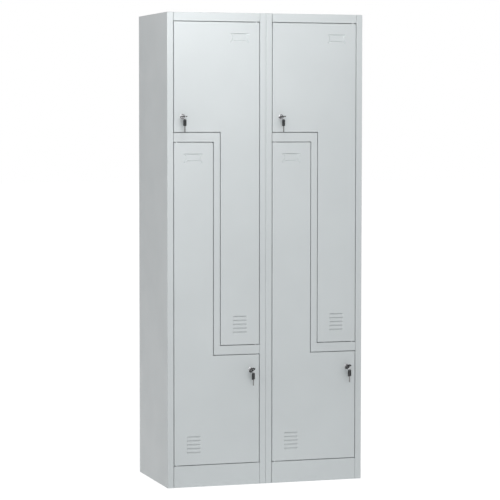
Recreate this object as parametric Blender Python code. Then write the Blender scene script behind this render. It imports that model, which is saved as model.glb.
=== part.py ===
"""Two-column steel wardrobe with four Z-shaped doors, cam locks and keys.

Metres, +Z up, the doors face -Y. Each column is modelled from its own left side, with the
door faces at y = 0 and the floor at z = 0, and hangs from an empty that puts the origin
below the middle of the whole object.
"""
import math

import bmesh
import bpy
from mathutils import Matrix, Vector

# Cabinet
COLUMN_WIDTH = 0.401
COLUMN_GAP = 0.0004
HEIGHT = 1.850
DEPTH = 0.427

# Folded sheet
SHEET = 0.001
BEND_RADIUS = 0.0018
BEND_STEPS = 2
SEAT_GAP = 0.0003
CUT_OVERRUN = 0.002
WELD_OVERLAP = 0.0005
MERGE_DISTANCE = 0.000003
SMOOTH_ANGLE = 40

# Front frame
POST_FACE = 0.0246
RAIL_FACE = 0.0337
PLINTH_FACE = 0.0846
STRIP_FACE = 0.0355
MULLION_FACE = 0.0257
MEMBER_SEAM = 0.0012
STOP_DEPTH = 0.024
STOP_LIP = 0.010
FOOT_FLANGE = 0.018
REAR_FLANGE = 0.018
EDGE_FLANGE = 0.014

# Doors
DOOR_GAP = 0.0025
DOOR_DEPTH = 0.015
DOOR_LIP = 0.010
WIDE_HEIGHT = 0.4267

# Hinge pins
PIN_RADIUS = 0.003
PIN_SIDES = 16
PIN_INSET = 0.012
PIN_SETBACK = 0.007
PIN_COLLAR_RADIUS = 0.005
PIN_HEAD_RADIUS = 0.0046
PIN_HEAD_DEPTH = 0.0016
PIN_REACH = 0.006
PIN_CHAMFER = 0.0007

# Pressings in the doors
PRESS_OVERLAP = 0.0003

# Louvres
LOUVRE_COUNT = 5
LOUVRE_WIDTH = 0.060
LOUVRE_HEIGHT = 0.0100
LOUVRE_PITCH = 0.0154
LOUVRE_DEPTH = 0.0042
LOUVRE_TAPER = 0.004
LOUVRE_RISE = 0.051
LOUVRE_SLIT_RELIEF = 0.0002

# Card holder
CARD_WIDTH = 0.060
CARD_HEIGHT = 0.029
CARD_RECESS = 0.0020
CARD_DRAFT = 0.0008
CARD_DROP = 0.0430
CARD_SHIFT = 0.002
CARD_LUG = 0.014
CARD_LUG_PROUD = 0.0009
CARD_LUG_BESIDE = 0.006
CARD_LUG_ABOVE = 0.002
CARD_LUG_BELOW = 0.009

# Lock
LOCK_INSET = 0.0343
LOCK_RISE = 0.0597
LOCK_FLANGE_RADIUS = 0.0105
LOCK_FLANGE_DEPTH = 0.002
LOCK_CHAMFER = 0.0007
LOCK_BODY_RADIUS = 0.009
LOCK_BODY_LENGTH = 0.021
LOCK_SIDES = 20
PLUG_RADIUS = 0.006
PLUG_PROUD = 0.0004
NUT_SIDES = 6
NUT_FLATS = 0.024
NUT_DEPTH = 0.004
TENON = 0.007
SCREW_HEAD_RADIUS = 0.0055
SCREW_HEAD_DEPTH = 0.0025
CAM_THICKNESS = 0.002
CAM_REACH = 0.032
CAM_WIDTH = 0.013
CAM_HUB_WIDTH = 0.017
CAM_CORNER = 0.004
CAM_CLEARANCE = 0.0006

# Keys
BOW_WIDTH = 0.0245
BOW_LENGTH = 0.0265
BOW_THICKNESS = 0.0032
BOW_CORNER = 0.007
BOW_SHOULDER_CORNER = 0.004
BOW_STANDOFF = 0.0025
KEY_HOLE_RADIUS = 0.0036
KEY_HOLE_EDGE = 0.0052
KEY_HOLE_SIDES = 12
BLADE_LENGTH = 0.024
BLADE_WIDTH = 0.007
BLADE_THICKNESS = 0.002
BLADE_TIP = 0.002
BIT_COUNT = 4
BIT_DEPTH = 0.0016
BIT_END_SHARE = 0.25
BIT_SPAN_SHARE = 0.6
CORNER_STEPS = 3

# Key ring
RING_RADIUS = 0.009
RING_WIRE_RADIUS = 0.0007
RING_SIDES = 20
RING_WIRE_SIDES = 6
RING_PLAY = 0.0012

# Hanging rails
RAIL_RADIUS = 0.008
RAIL_SOCKET_RADIUS = 0.014
RAIL_SOCKET_DEPTH = 0.006
RAIL_SIDES = 16
RAIL_DROP = 0.055

# How each lock is left: turn of the key about its axis and of the hanging spare key, in degrees
KEY_TURNS = {
    "left_upper": (-5, 50),
    "left_lower": (-38, 50),
    "right_upper": (-12, 50),
    "right_lower": (-38, 43),
}

# Heights, from the floor up
LOWER_BOTTOM = PLINTH_FACE + DOOR_GAP
LOWER_STEP = LOWER_BOTTOM + WIDE_HEIGHT
LOW_STRIP_BOTTOM = LOWER_STEP + DOOR_GAP
LOW_STRIP_TOP = LOW_STRIP_BOTTOM + STRIP_FACE
UPPER_LEG_BOTTOM = LOW_STRIP_TOP + DOOR_GAP
RAIL_BOTTOM = HEIGHT - RAIL_FACE
UPPER_TOP = RAIL_BOTTOM - DOOR_GAP
UPPER_NOTCH = UPPER_TOP - WIDE_HEIGHT
HIGH_STRIP_TOP = UPPER_NOTCH - DOOR_GAP
HIGH_STRIP_BOTTOM = HIGH_STRIP_TOP - STRIP_FACE
LOWER_LEG_TOP = HIGH_STRIP_BOTTOM - DOOR_GAP
LOW_SHELF = (LOW_STRIP_BOTTOM + LOW_STRIP_TOP + SHEET) / 2
HIGH_SHELF = (HIGH_STRIP_BOTTOM + HIGH_STRIP_TOP + SHEET) / 2

# Places across a column, from its left side
DOOR_LEFT = POST_FACE + DOOR_GAP
DOOR_RIGHT = COLUMN_WIDTH - DOOR_LEFT
MULLION_LEFT = (COLUMN_WIDTH - MULLION_FACE) / 2
MULLION_RIGHT = COLUMN_WIDTH - MULLION_LEFT
MEMBER_LEFT = POST_FACE + MEMBER_SEAM
MEMBER_RIGHT = COLUMN_WIDTH - MEMBER_LEFT
INSIDE_LEFT = SHEET + SEAT_GAP
INSIDE_RIGHT = COLUMN_WIDTH - INSIDE_LEFT

# Places behind the door faces
MEMBER_STOP = STOP_DEPTH - SEAT_GAP - SHEET
INSIDE_FRONT = STOP_DEPTH + SHEET + SEAT_GAP
BACK_FRONT = DEPTH - SHEET - SEAT_GAP - SHEET
INSIDE_BACK = BACK_FRONT - SEAT_GAP
CAM_FRONT = STOP_DEPTH + SHEET + CAM_CLEARANCE
CAM_BACK = CAM_FRONT + CAM_THICKNESS

# Places in front of the door faces
LOCK_FACE = -SEAT_GAP - LOCK_FLANGE_DEPTH
PLUG_FACE = LOCK_FACE - PLUG_PROUD
BOW_END = PLUG_FACE - BOW_STANDOFF
KEY_HOLE_Y = BOW_END - BOW_LENGTH + KEY_HOLE_EDGE
RING_SHIFT = KEY_HOLE_EDGE + RING_WIRE_RADIUS * 2
BIT_END = BLADE_LENGTH * BIT_END_SHARE
BIT_PITCH = BLADE_LENGTH * BIT_SPAN_SHARE / BIT_COUNT


def ring_drop(key_turn):
    """How far the ring's centre hangs below the hole of a key that is turned by an angle."""
    tilt = abs(math.radians(key_turn))
    bridge_height = BOW_THICKNESS / 2 / math.cos(tilt) + RING_WIRE_RADIUS * math.tan(tilt)
    return RING_RADIUS - RING_WIRE_RADIUS - bridge_height - RING_PLAY


def spare_drop(spare_turn):
    """How far the hole of a hanging key that is turned by an angle lies below the ring's lowest wire."""
    angle = math.radians(spare_turn)
    across = BOW_THICKNESS / 2 * math.tan(angle)
    along_wire = BOW_THICKNESS / 2 / math.cos(angle)
    hole = KEY_HOLE_RADIUS * math.cos(math.pi / KEY_HOLE_SIDES)
    room = hole - SEAT_GAP - RING_WIRE_RADIUS / math.cos(angle)
    sag = RING_RADIUS - math.sqrt(RING_RADIUS ** 2 - along_wire ** 2)
    return math.sqrt(room ** 2 - across ** 2) - sag


def key_reach(spare_turn):
    """How far a hanging spare key or its ring stands out in front of the door faces."""
    angle = math.radians(spare_turn)
    half = (BOW_WIDTH * math.sin(angle) + BOW_THICKNESS * math.cos(angle)) / 2
    return RING_SHIFT - KEY_HOLE_Y + max(half, RING_RADIUS + RING_WIRE_RADIUS)


FRONT_REACH = max(key_reach(spare_turn) for key_turn, spare_turn in KEY_TURNS.values())
FRONT_Y = (FRONT_REACH - DEPTH) / 2


def material(name, colour, roughness, metallic):
    """A plain shader for one kind of piece."""
    made = bpy.data.materials.new(name)
    made.use_nodes = True
    shader = made.node_tree.nodes["Principled BSDF"]
    shader.inputs["Base Color"].default_value = (*colour, 1.0)
    shader.inputs["Roughness"].default_value = roughness
    shader.inputs["Metallic"].default_value = metallic
    return made


def along(axis, u, v, w):
    """A point whose section place is (u, v) and whose place along the axis is w."""
    if axis == "X":
        return Vector((w, u, v))
    if axis == "Y":
        return Vector((u, w, v))
    return Vector((u, v, w))


def bridge(body, first, second):
    """Quads between two rings of the same number of vertices."""
    count = len(first)
    for index in range(count):
        following = (index + 1) % count
        body.faces.new((first[index], first[following], second[following], second[index]))


def rings_body(rings, hollow=False):
    """A closed body through a list of rings of points, capped or joined end to end."""
    body = bmesh.new()
    made = [[body.verts.new(point) for point in ring] for ring in rings]
    for first, second in zip(made, made[1:]):
        bridge(body, first, second)
    if hollow:
        bridge(body, made[-1], made[0])
    else:
        body.faces.new(made[0])
        body.faces.new(made[-1])
    bmesh.ops.recalc_face_normals(body, faces=body.faces)
    return body


def prism(outline, axis, start, end):
    """An outline carried straight along an axis."""
    return rings_body([[along(axis, u, v, place) for u, v in outline] for place in (start, end)])


def block(x_span, y_span, z_span):
    """A box between two places on each axis."""
    left, right = x_span
    front, back = y_span
    outline = [(left, front), (right, front), (right, back), (left, back)]
    return prism(outline, "Z", *z_span)


def turned(profile, axis, sides, centre=(0, 0), hollow=False):
    """A profile of (radius, place) turned about an axis through a centre."""
    rings = []
    for radius, place in profile:
        ring = []
        for index in range(sides):
            angle = math.tau * index / sides
            u = centre[0] + radius * math.cos(angle)
            v = centre[1] + radius * math.sin(angle)
            ring.append(along(axis, u, v, place))
        rings.append(ring)
    return rings_body(rings, hollow)


def rod(radius, axis, sides, start, end, centre=(0, 0)):
    """A plain round bar."""
    return turned([(radius, start), (radius, end)], axis, sides, centre)


def hull(points):
    """The convex body round a few points."""
    body = bmesh.new()
    for point in points:
        body.verts.new(point)
    bmesh.ops.convex_hull(body, input=body.verts)
    bmesh.ops.recalc_face_normals(body, faces=body.faces)
    return body


def gathered(bodies):
    """Several separate bodies in one mesh."""
    whole = bmesh.new()
    carrier = bpy.data.meshes.new("carrier")
    for body in bodies:
        body.to_mesh(carrier)
        whole.from_mesh(carrier)
        body.free()
    bpy.data.meshes.remove(carrier)
    return whole


def helper(name, body):
    """A short-lived object that holds one body of a cut."""
    mesh = bpy.data.meshes.new(name)
    body.to_mesh(mesh)
    body.free()
    made = bpy.data.objects.new(name, mesh)
    made.hide_render = True
    made.display_type = "WIRE"
    bpy.context.scene.collection.objects.link(made)
    return made


def combined(body, tool, operation):
    """Body and tool after a Boolean, which uses both up."""
    base = helper("base", body)
    cutter = helper("cutter", tool)
    modifier = base.modifiers.new("Cut", "BOOLEAN")
    modifier.solver = "EXACT"
    modifier.operation = operation
    modifier.object = cutter
    graph = bpy.context.evaluated_depsgraph_get()
    result = bmesh.new()
    result.from_mesh(base.evaluated_get(graph).data)
    for spent in (base, cutter):
        mesh = spent.data
        bpy.data.objects.remove(spent)
        bpy.data.meshes.remove(mesh)
    return result


def rounded(corners):
    """An outline whose corners, given as (u, v, radius), are rounded off."""
    outline = []
    count = len(corners)
    for index, (u, v, radius) in enumerate(corners):
        here = Vector((u, v))
        before = (Vector(corners[index - 1][:2]) - here).normalized()
        after = (Vector(corners[(index + 1) % count][:2]) - here).normalized()
        if radius == 0:
            outline.append((u, v))
            continue
        half = before.angle(after) / 2
        centre = here + (before + after).normalized() * radius / math.sin(half)
        start = here + before * radius / math.tan(half) - centre
        end = here + after * radius / math.tan(half) - centre
        turn = math.atan2(start.x * end.y - start.y * end.x, start.dot(end))
        for step in range(CORNER_STEPS + 1):
            spoke = Matrix.Rotation(turn * step / CORNER_STEPS, 2) @ start
            outline.append(tuple(centre + spoke))
    return outline


def sheet_skins(path):
    """Both skins of a folded sheet. The path is the outer skin, and the steel lies on its right."""
    corners = [Vector(point) for point in path]
    skin = []
    steel = []
    way = (corners[1] - corners[0]).normalized()
    right = Vector((way.y, -way.x))
    skin.append(tuple(corners[0]))
    steel.append(tuple(corners[0] + right * SHEET))
    for before, here, after in zip(corners, corners[1:], corners[2:]):
        way = (here - before).normalized()
        onward = (after - here).normalized()
        turn = math.atan2(way.x * onward.y - way.y * onward.x, way.dot(onward))
        side = Vector((way.y, -way.x)) * (1 if turn < 0 else -1)
        radius = BEND_RADIUS if turn < 0 else BEND_RADIUS - SHEET
        steel_radius = BEND_RADIUS - SHEET if turn < 0 else BEND_RADIUS
        centre = here - way * radius * math.tan(abs(turn) / 2) + side * radius
        for step in range(BEND_STEPS + 1):
            spoke = Matrix.Rotation(turn * step / BEND_STEPS, 2) @ -side
            skin.append(tuple(centre + spoke * radius))
            steel.append(tuple(centre + spoke * steel_radius))
    way = (corners[-1] - corners[-2]).normalized()
    right = Vector((way.y, -way.x))
    skin.append(tuple(corners[-1]))
    steel.append(tuple(corners[-1] + right * SHEET))
    return skin, steel


def folded(path, axis, start, end):
    """A folded sheet carried along an axis."""
    skin, steel = sheet_skins(path)
    return prism(skin + steel[::-1], axis, start, end)


def piece(name, body, look, parent, origin=(0, 0, 0), centre=None):
    """A named object with its mesh moved so that its origin lies on the given point."""
    origin = Vector(origin)
    bmesh.ops.translate(body, verts=body.verts, vec=-origin)
    bmesh.ops.dissolve_degenerate(body, dist=MERGE_DISTANCE, edges=body.edges)
    mesh = bpy.data.meshes.new(name)
    body.to_mesh(mesh)
    body.free()
    mesh.shade_smooth()
    mesh.set_sharp_from_angle(angle=math.radians(SMOOTH_ANGLE))
    mesh.materials.append(look)
    made = bpy.data.objects.new(name, mesh)
    made.parent = parent
    made.location = origin if centre is None else centre
    bpy.context.scene.collection.objects.link(made)
    return made


def empty(name, parent, location):
    """A plain empty that carries other objects."""
    made = bpy.data.objects.new(name, None)
    made.parent = parent
    made.location = location
    bpy.context.scene.collection.objects.link(made)
    return made


def side_panel(mirrored):
    """Side wall with the front post, its door stop and the rear flange, folded from one sheet."""
    path = [
        (POST_FACE + STOP_LIP, STOP_DEPTH),
        (POST_FACE, STOP_DEPTH),
        (POST_FACE, 0),
        (0, 0),
        (0, DEPTH),
        (REAR_FLANGE, DEPTH),
    ]
    if mirrored:
        path = [(COLUMN_WIDTH - x, y) for x, y in reversed(path)]
    return folded(path, "Z", 0, HEIGHT - SHEET - SEAT_GAP)


def top_panel():
    """Roof with the front rail and its door stop, the rear flange, and the hinge pin's hole."""
    path = [
        (MEMBER_STOP, RAIL_BOTTOM - STOP_LIP),
        (MEMBER_STOP, RAIL_BOTTOM),
        (0, RAIL_BOTTOM),
        (0, HEIGHT),
        (DEPTH, HEIGHT),
        (DEPTH, HEIGHT - EDGE_FLANGE),
    ]
    body = folded(path, "X", MEMBER_LEFT, MEMBER_RIGHT)
    roof = (HEIGHT - SHEET, HEIGHT)
    wings = [
        block((0, MEMBER_LEFT + WELD_OVERLAP), (0, DEPTH), roof),
        block((MEMBER_RIGHT - WELD_OVERLAP, COLUMN_WIDTH), (0, DEPTH), roof),
    ]
    body = combined(body, gathered(wings), "UNION")
    return combined(body, pin_hole(upper_axis(), RAIL_BOTTOM, SHEET), "DIFFERENCE")


def plinth():
    """Kick plate with a foot flange, and the ledge and door stop above it."""
    path = [
        (FOOT_FLANGE, 0),
        (0, 0),
        (0, PLINTH_FACE),
        (MEMBER_STOP, PLINTH_FACE),
        (MEMBER_STOP, PLINTH_FACE + STOP_LIP),
    ]
    body = folded(path, "X", MEMBER_LEFT, MEMBER_RIGHT)
    return combined(body, pin_hole(lower_axis(), PLINTH_FACE, -SHEET), "DIFFERENCE")


def base_panel():
    """Floor of the lower compartment, flanged front and back, with an ear that shuts each post's foot."""
    path = [
        (INSIDE_FRONT, PLINTH_FACE - EDGE_FLANGE),
        (INSIDE_FRONT, PLINTH_FACE),
        (INSIDE_BACK, PLINTH_FACE),
        (INSIDE_BACK, PLINTH_FACE - EDGE_FLANGE),
    ]
    body = folded(path, "X", INSIDE_LEFT, INSIDE_RIGHT)
    reach = (INSIDE_LEFT, POST_FACE - SHEET - SEAT_GAP)
    depth = (SHEET + SEAT_GAP, INSIDE_FRONT + BEND_RADIUS + WELD_OVERLAP)
    level = (PLINTH_FACE - SHEET, PLINTH_FACE)
    mirrored = (COLUMN_WIDTH - reach[1], COLUMN_WIDTH - reach[0])
    ears = [block(reach, depth, level), block(mirrored, depth, level)]
    return combined(body, gathered(ears), "UNION")


def back_panel():
    """Rear wall, which lies against the side panels' rear flanges."""
    across = (INSIDE_LEFT, INSIDE_RIGHT)
    return block(across, (BACK_FRONT, BACK_FRONT + SHEET), (0, HEIGHT - SHEET - SEAT_GAP))


def partition():
    """The Z-shaped sheet that parts the two compartments, with a welding flange at each end."""
    middle = (COLUMN_WIDTH + SHEET) / 2
    path = [
        (INSIDE_LEFT, HIGH_SHELF - EDGE_FLANGE),
        (INSIDE_LEFT, HIGH_SHELF),
        (middle, HIGH_SHELF),
        (middle, LOW_SHELF),
        (INSIDE_RIGHT - SHEET, LOW_SHELF),
        (INSIDE_RIGHT - SHEET, LOW_SHELF + EDGE_FLANGE),
    ]
    return folded(path, "Y", INSIDE_FRONT, INSIDE_BACK)


def strip_section(width):
    """Section of the strip between the doors: its face, a return on each side, and two door stops."""
    path = [
        (STOP_LIP, MEMBER_STOP),
        (0, MEMBER_STOP),
        (0, 0),
        (-width, 0),
        (-width, MEMBER_STOP),
        (-width - STOP_LIP, MEMBER_STOP),
    ]
    skin, steel = sheet_skins(path)
    return skin + steel[::-1]


def front_frame():
    """The Z-shaped strip between the doors, mitred at its two corners, with holes for two pins."""
    level = strip_section(STRIP_FACE)
    upright = strip_section(MULLION_FACE)
    rings = []
    for place, corner, top in (
        (MEMBER_LEFT, False, HIGH_STRIP_TOP),
        (MULLION_RIGHT, True, HIGH_STRIP_TOP),
        (MULLION_RIGHT, True, LOW_STRIP_TOP),
        (MEMBER_RIGHT, False, LOW_STRIP_TOP),
    ):
        ring = []
        for (across, depth), (sideways, _) in zip(level, upright):
            ring.append(Vector((place + (sideways if corner else 0), depth, top + across)))
        rings.append(ring)
    body = rings_body(rings)
    holes = [
        pin_hole(lower_axis(), HIGH_STRIP_BOTTOM, SHEET),
        pin_hole(upper_axis(), LOW_STRIP_TOP, -SHEET),
    ]
    return combined(body, gathered(holes), "DIFFERENCE")


def upper_axis():
    """Place of the upper door's hinge line, on the right."""
    return (DOOR_RIGHT - PIN_INSET, PIN_SETBACK)


def lower_axis():
    """Place of the lower door's hinge line, on the left."""
    return (DOOR_LEFT + PIN_INSET, PIN_SETBACK)


def pin_hole(centre, level, through):
    """Cutter for a pin's hole in a level sheet whose outer skin is at the given level."""
    low = min(level, level + through) - CUT_OVERRUN
    high = max(level, level + through) + CUT_OVERRUN
    return rod(PIN_RADIUS + SEAT_GAP, "Z", PIN_SIDES, low, high, centre)


def hinge_pin(centre, level, upward):
    """A pin riveted through the frame at a level, with a collar that spaces the door."""
    head = SHEET + SEAT_GAP
    rim = DOOR_GAP + SHEET
    profile = [
        (PIN_HEAD_RADIUS - PIN_CHAMFER, -head - PIN_HEAD_DEPTH),
        (PIN_HEAD_RADIUS, -head - PIN_HEAD_DEPTH + PIN_CHAMFER),
        (PIN_HEAD_RADIUS, -head),
        (PIN_RADIUS, -head),
        (PIN_RADIUS, SEAT_GAP),
        (PIN_COLLAR_RADIUS, SEAT_GAP),
        (PIN_COLLAR_RADIUS, DOOR_GAP - SEAT_GAP),
        (PIN_RADIUS, DOOR_GAP - SEAT_GAP),
        (PIN_RADIUS, rim + PIN_REACH - PIN_CHAMFER),
        (PIN_RADIUS - PIN_CHAMFER, rim + PIN_REACH),
    ]
    return turned([(radius, level + place * upward) for radius, place in profile], "Z", PIN_SIDES, centre)


def hanging_rail(start, end, height):
    """A clothes rail across a compartment, with a socket at each end."""
    profile = [
        (RAIL_SOCKET_RADIUS, start),
        (RAIL_SOCKET_RADIUS, start + RAIL_SOCKET_DEPTH),
        (RAIL_RADIUS, start + RAIL_SOCKET_DEPTH),
        (RAIL_RADIUS, end - RAIL_SOCKET_DEPTH),
        (RAIL_SOCKET_RADIUS, end - RAIL_SOCKET_DEPTH),
        (RAIL_SOCKET_RADIUS, end),
    ]
    return turned(profile, "X", RAIL_SIDES, (DEPTH / 2, height))


def upper_outline():
    """Corners of the upper door's face, seen from the front, from its foot round to the left."""
    leg = MULLION_RIGHT + DOOR_GAP
    return [
        (leg, UPPER_LEG_BOTTOM),
        (DOOR_RIGHT, UPPER_LEG_BOTTOM),
        (DOOR_RIGHT, UPPER_TOP),
        (DOOR_LEFT, UPPER_TOP),
        (DOOR_LEFT, UPPER_NOTCH),
        (leg, UPPER_NOTCH),
    ]


def lower_outline():
    """Corners of the lower door's face, from its foot round to the left."""
    leg = MULLION_LEFT - DOOR_GAP
    return [
        (DOOR_LEFT, LOWER_BOTTOM),
        (DOOR_RIGHT, LOWER_BOTTOM),
        (DOOR_RIGHT, LOWER_STEP),
        (leg, LOWER_STEP),
        (leg, LOWER_LEG_TOP),
        (DOOR_LEFT, LOWER_LEG_TOP),
    ]


def inset(outline, distance):
    """A square-cornered outline drawn in by a distance."""
    drawn = []
    count = len(outline)
    for index, corner in enumerate(outline):
        here = Vector(corner)
        way = (here - Vector(outline[index - 1])).normalized()
        onward = (Vector(outline[(index + 1) % count]) - here).normalized()
        inward = Vector((-way.y, way.x)) + Vector((-onward.y, onward.x))
        drawn.append(here + inward * distance)
    return drawn


def pan(outline):
    """A door folded from one sheet: face, rim and a lip all round the back."""
    path = [(DOOR_LIP, 0), (0, 0), (0, DOOR_DEPTH), (DOOR_LIP, DOOR_DEPTH)]
    skin, steel = sheet_skins(path)
    rings = []
    for distance, depth in skin[::-1] + steel:
        rings.append([Vector((x, depth, z)) for x, z in inset(outline, distance)])
    count = len(skin)
    body = bmesh.new()
    made = [[body.verts.new(point) for point in ring] for ring in rings]
    face = made[:count][::-1]
    inside = made[count:]
    for layers in (face, inside):
        for first, second in zip(layers, layers[1:]):
            bridge(body, first, second)
    bridge(body, face[-1], inside[-1])
    body.faces.new(face[0])
    body.faces.new(inside[0])
    bmesh.ops.recalc_face_normals(body, faces=body.faces)
    return body


def louvre(centre, slit):
    """A pressed louvre as a boss to add behind the face and a scoop to cut out of it."""
    half = LOUVRE_WIDTH / 2
    foot = slit - LOUVRE_HEIGHT
    deep = half - LOUVRE_TAPER
    boss = []
    for place in (SHEET - PRESS_OVERLAP, SHEET):
        for reach in (-half - SHEET, half + SHEET):
            boss.append((centre + reach, place, foot - SHEET))
            boss.append((centre + reach, place, slit))
    for reach in (-deep - SHEET, deep + SHEET):
        boss.append((centre + reach, LOUVRE_DEPTH + SHEET, slit))
    top = slit + LOUVRE_SLIT_RELIEF
    scoop = []
    for place in (-CUT_OVERRUN, 0):
        for reach in (-half, half):
            scoop.append((centre + reach, place, foot))
            scoop.append((centre + reach, place, top))
    for reach in (-deep, deep):
        scoop.append((centre + reach, LOUVRE_DEPTH, slit))
        scoop.append((centre + reach, LOUVRE_DEPTH, top))
    return hull(boss), hull(scoop)


def card_holder(centre, middle):
    """A pressed card recess as a boss, a pocket to cut, and four corner lugs."""
    half = CARD_WIDTH / 2
    rise = CARD_HEIGHT / 2
    boss = []
    pocket = []
    for side in (-1, 1):
        for up in (-1, 1):
            outer = ((SHEET - PRESS_OVERLAP, SHEET), (CARD_RECESS + SHEET, SHEET - CARD_DRAFT))
            for place, grow in outer:
                boss.append((centre + side * (half + grow), place, middle + up * (rise + grow)))
            for place, grow in ((-CUT_OVERRUN, 0), (0, 0), (CARD_RECESS, -CARD_DRAFT)):
                pocket.append((centre + side * (half + grow), place, middle + up * (rise + grow)))
    lugs = []
    for side in (-1, 1):
        for up in (-1, 1):
            margin = CARD_LUG_ABOVE if up > 0 else CARD_LUG_BELOW
            across = centre + side * (half + CARD_LUG_BESIDE)
            height = middle + up * (rise + margin)
            along_top = (across - side * CARD_LUG, height)
            down_side = (across, height - up * CARD_LUG)
            corner = [(across, height), along_top, down_side]
            lugs.append(prism(corner, "Y", -CARD_LUG_PROUD, PRESS_OVERLAP))
    return hull(boss), hull(pocket), lugs


def door(outline, leg, top, bottom, lock, axis):
    """A Z-shaped door with its louvres, card holder, lock hole and pin holes."""
    middle = (leg[0] + leg[1]) / 2
    bosses = []
    cuts = []
    for index in range(LOUVRE_COUNT):
        boss, scoop = louvre(middle, bottom + LOUVRE_RISE + LOUVRE_PITCH * index)
        bosses.append(boss)
        cuts.append(scoop)
    boss, pocket, lugs = card_holder(middle - CARD_SHIFT, top - CARD_DROP - CARD_HEIGHT / 2)
    bosses.append(boss)
    cuts.append(pocket)
    bore = LOCK_BODY_RADIUS + SEAT_GAP
    cuts.append(rod(bore, "Y", LOCK_SIDES, -CUT_OVERRUN, SHEET + CUT_OVERRUN, lock))
    cuts.append(pin_hole(axis, top, -SHEET))
    cuts.append(pin_hole(axis, bottom, SHEET))
    body = combined(pan(outline), gathered(bosses), "UNION")
    body = combined(body, gathered(cuts), "DIFFERENCE")
    return combined(body, gathered(lugs), "UNION")


def lock_housing():
    """The lock's chromed sleeve, with a flange in front of the door."""
    bore = PLUG_RADIUS + SEAT_GAP
    profile = [
        (bore, LOCK_FACE),
        (LOCK_FLANGE_RADIUS - LOCK_CHAMFER, LOCK_FACE),
        (LOCK_FLANGE_RADIUS, LOCK_FACE + LOCK_CHAMFER),
        (LOCK_FLANGE_RADIUS, -SEAT_GAP),
        (LOCK_BODY_RADIUS, -SEAT_GAP),
        (LOCK_BODY_RADIUS, LOCK_BODY_LENGTH),
        (bore, LOCK_BODY_LENGTH),
    ]
    return turned(profile, "Y", LOCK_SIDES, hollow=True)


def lock_nut():
    """The flat six-sided nut that clamps the sleeve behind the door face."""
    corner = NUT_FLATS / 2 / math.cos(math.pi / NUT_SIDES)
    start = SHEET + SEAT_GAP
    end = start + NUT_DEPTH
    body = rod(corner, "Y", NUT_SIDES, start, end)
    bore = LOCK_BODY_RADIUS + SEAT_GAP
    hole = rod(bore, "Y", LOCK_SIDES, start - CUT_OVERRUN, end + CUT_OVERRUN)
    return combined(body, hole, "DIFFERENCE")


def lock_plug():
    """The turning core, with its keyway, the square that carries the cam, and the screw head."""
    barrel = rod(PLUG_RADIUS, "Y", LOCK_SIDES, PLUG_FACE, CAM_FRONT - SEAT_GAP)
    half = TENON / 2
    tenon_end = CAM_BACK + SEAT_GAP
    length = (CAM_FRONT - SEAT_GAP - WELD_OVERLAP, tenon_end + WELD_OVERLAP)
    tenon = block((-half, half), length, (-half, half))
    head = rod(SCREW_HEAD_RADIUS, "Y", LOCK_SIDES, tenon_end, tenon_end + SCREW_HEAD_DEPTH)
    body = combined(barrel, tenon, "UNION")
    body = combined(body, head, "UNION")
    wide = BLADE_WIDTH / 2 + SEAT_GAP
    thick = BLADE_THICKNESS / 2 + SEAT_GAP
    end = BOW_END + BLADE_LENGTH + SEAT_GAP
    keyway = block((-wide, wide), (PLUG_FACE - CUT_OVERRUN, end), (-thick, thick))
    return combined(body, keyway, "DIFFERENCE")


def lock_cam():
    """The latch plate on the plug's square, which points down when the lock is open."""
    hub = CAM_HUB_WIDTH / 2
    tip = CAM_WIDTH / 2
    outline = rounded([
        (-hub, hub, CAM_CORNER),
        (-hub, -hub, 0),
        (-tip, -CAM_REACH, CAM_CORNER),
        (tip, -CAM_REACH, CAM_CORNER),
        (hub, -hub, 0),
        (hub, hub, CAM_CORNER),
    ])
    plate = prism(outline, "Y", CAM_FRONT, CAM_BACK)
    half = TENON / 2 + SEAT_GAP
    hole = block((-half, half), (CAM_FRONT - CUT_OVERRUN, CAM_BACK + CUT_OVERRUN), (-half, half))
    return combined(plate, hole, "DIFFERENCE")


def key():
    """A key lying flat, its bow's end at y = 0 and its blade along +Y."""
    half = BOW_WIDTH / 2
    bow = prism(rounded([
        (-half, 0, BOW_SHOULDER_CORNER),
        (-half, -BOW_LENGTH, BOW_CORNER),
        (half, -BOW_LENGTH, BOW_CORNER),
        (half, 0, BOW_SHOULDER_CORNER),
    ]), "Z", -BOW_THICKNESS / 2, BOW_THICKNESS / 2)
    edge = BLADE_WIDTH / 2
    outline = [(-edge, -WELD_OVERLAP), (edge, -WELD_OVERLAP)]
    for index in range(BIT_COUNT):
        start = BIT_END + BIT_PITCH * index
        outline.append((edge, start))
        outline.append((edge - BIT_DEPTH, start + BIT_PITCH / 2))
    outline.append((edge, BIT_END + BIT_PITCH * BIT_COUNT))
    outline.append((edge, BLADE_LENGTH - BLADE_TIP))
    outline.append((edge - BLADE_TIP, BLADE_LENGTH))
    outline.append((BLADE_TIP - edge, BLADE_LENGTH))
    outline.append((-edge, BLADE_LENGTH - BLADE_TIP))
    blade = prism(outline, "Z", -BLADE_THICKNESS / 2, BLADE_THICKNESS / 2)
    body = combined(bow, blade, "UNION")
    thick = BOW_THICKNESS / 2 + CUT_OVERRUN
    hole_place = (0, KEY_HOLE_EDGE - BOW_LENGTH)
    hole = rod(KEY_HOLE_RADIUS, "Z", KEY_HOLE_SIDES, -thick, thick, hole_place)
    return combined(body, hole, "DIFFERENCE")


def key_ring():
    """A wire ring standing in the YZ plane round the origin."""
    rings = []
    for index in range(RING_SIDES):
        angle = math.tau * index / RING_SIDES
        outward = Vector((0, math.cos(angle), math.sin(angle)))
        ring = []
        for side in range(RING_WIRE_SIDES):
            turn = math.tau * side / RING_WIRE_SIDES
            spoke = outward * math.cos(turn) + Vector((math.sin(turn), 0, 0))
            ring.append(outward * RING_RADIUS + spoke * RING_WIRE_RADIUS)
        rings.append(ring)
    return rings_body(rings, hollow=True)


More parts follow.
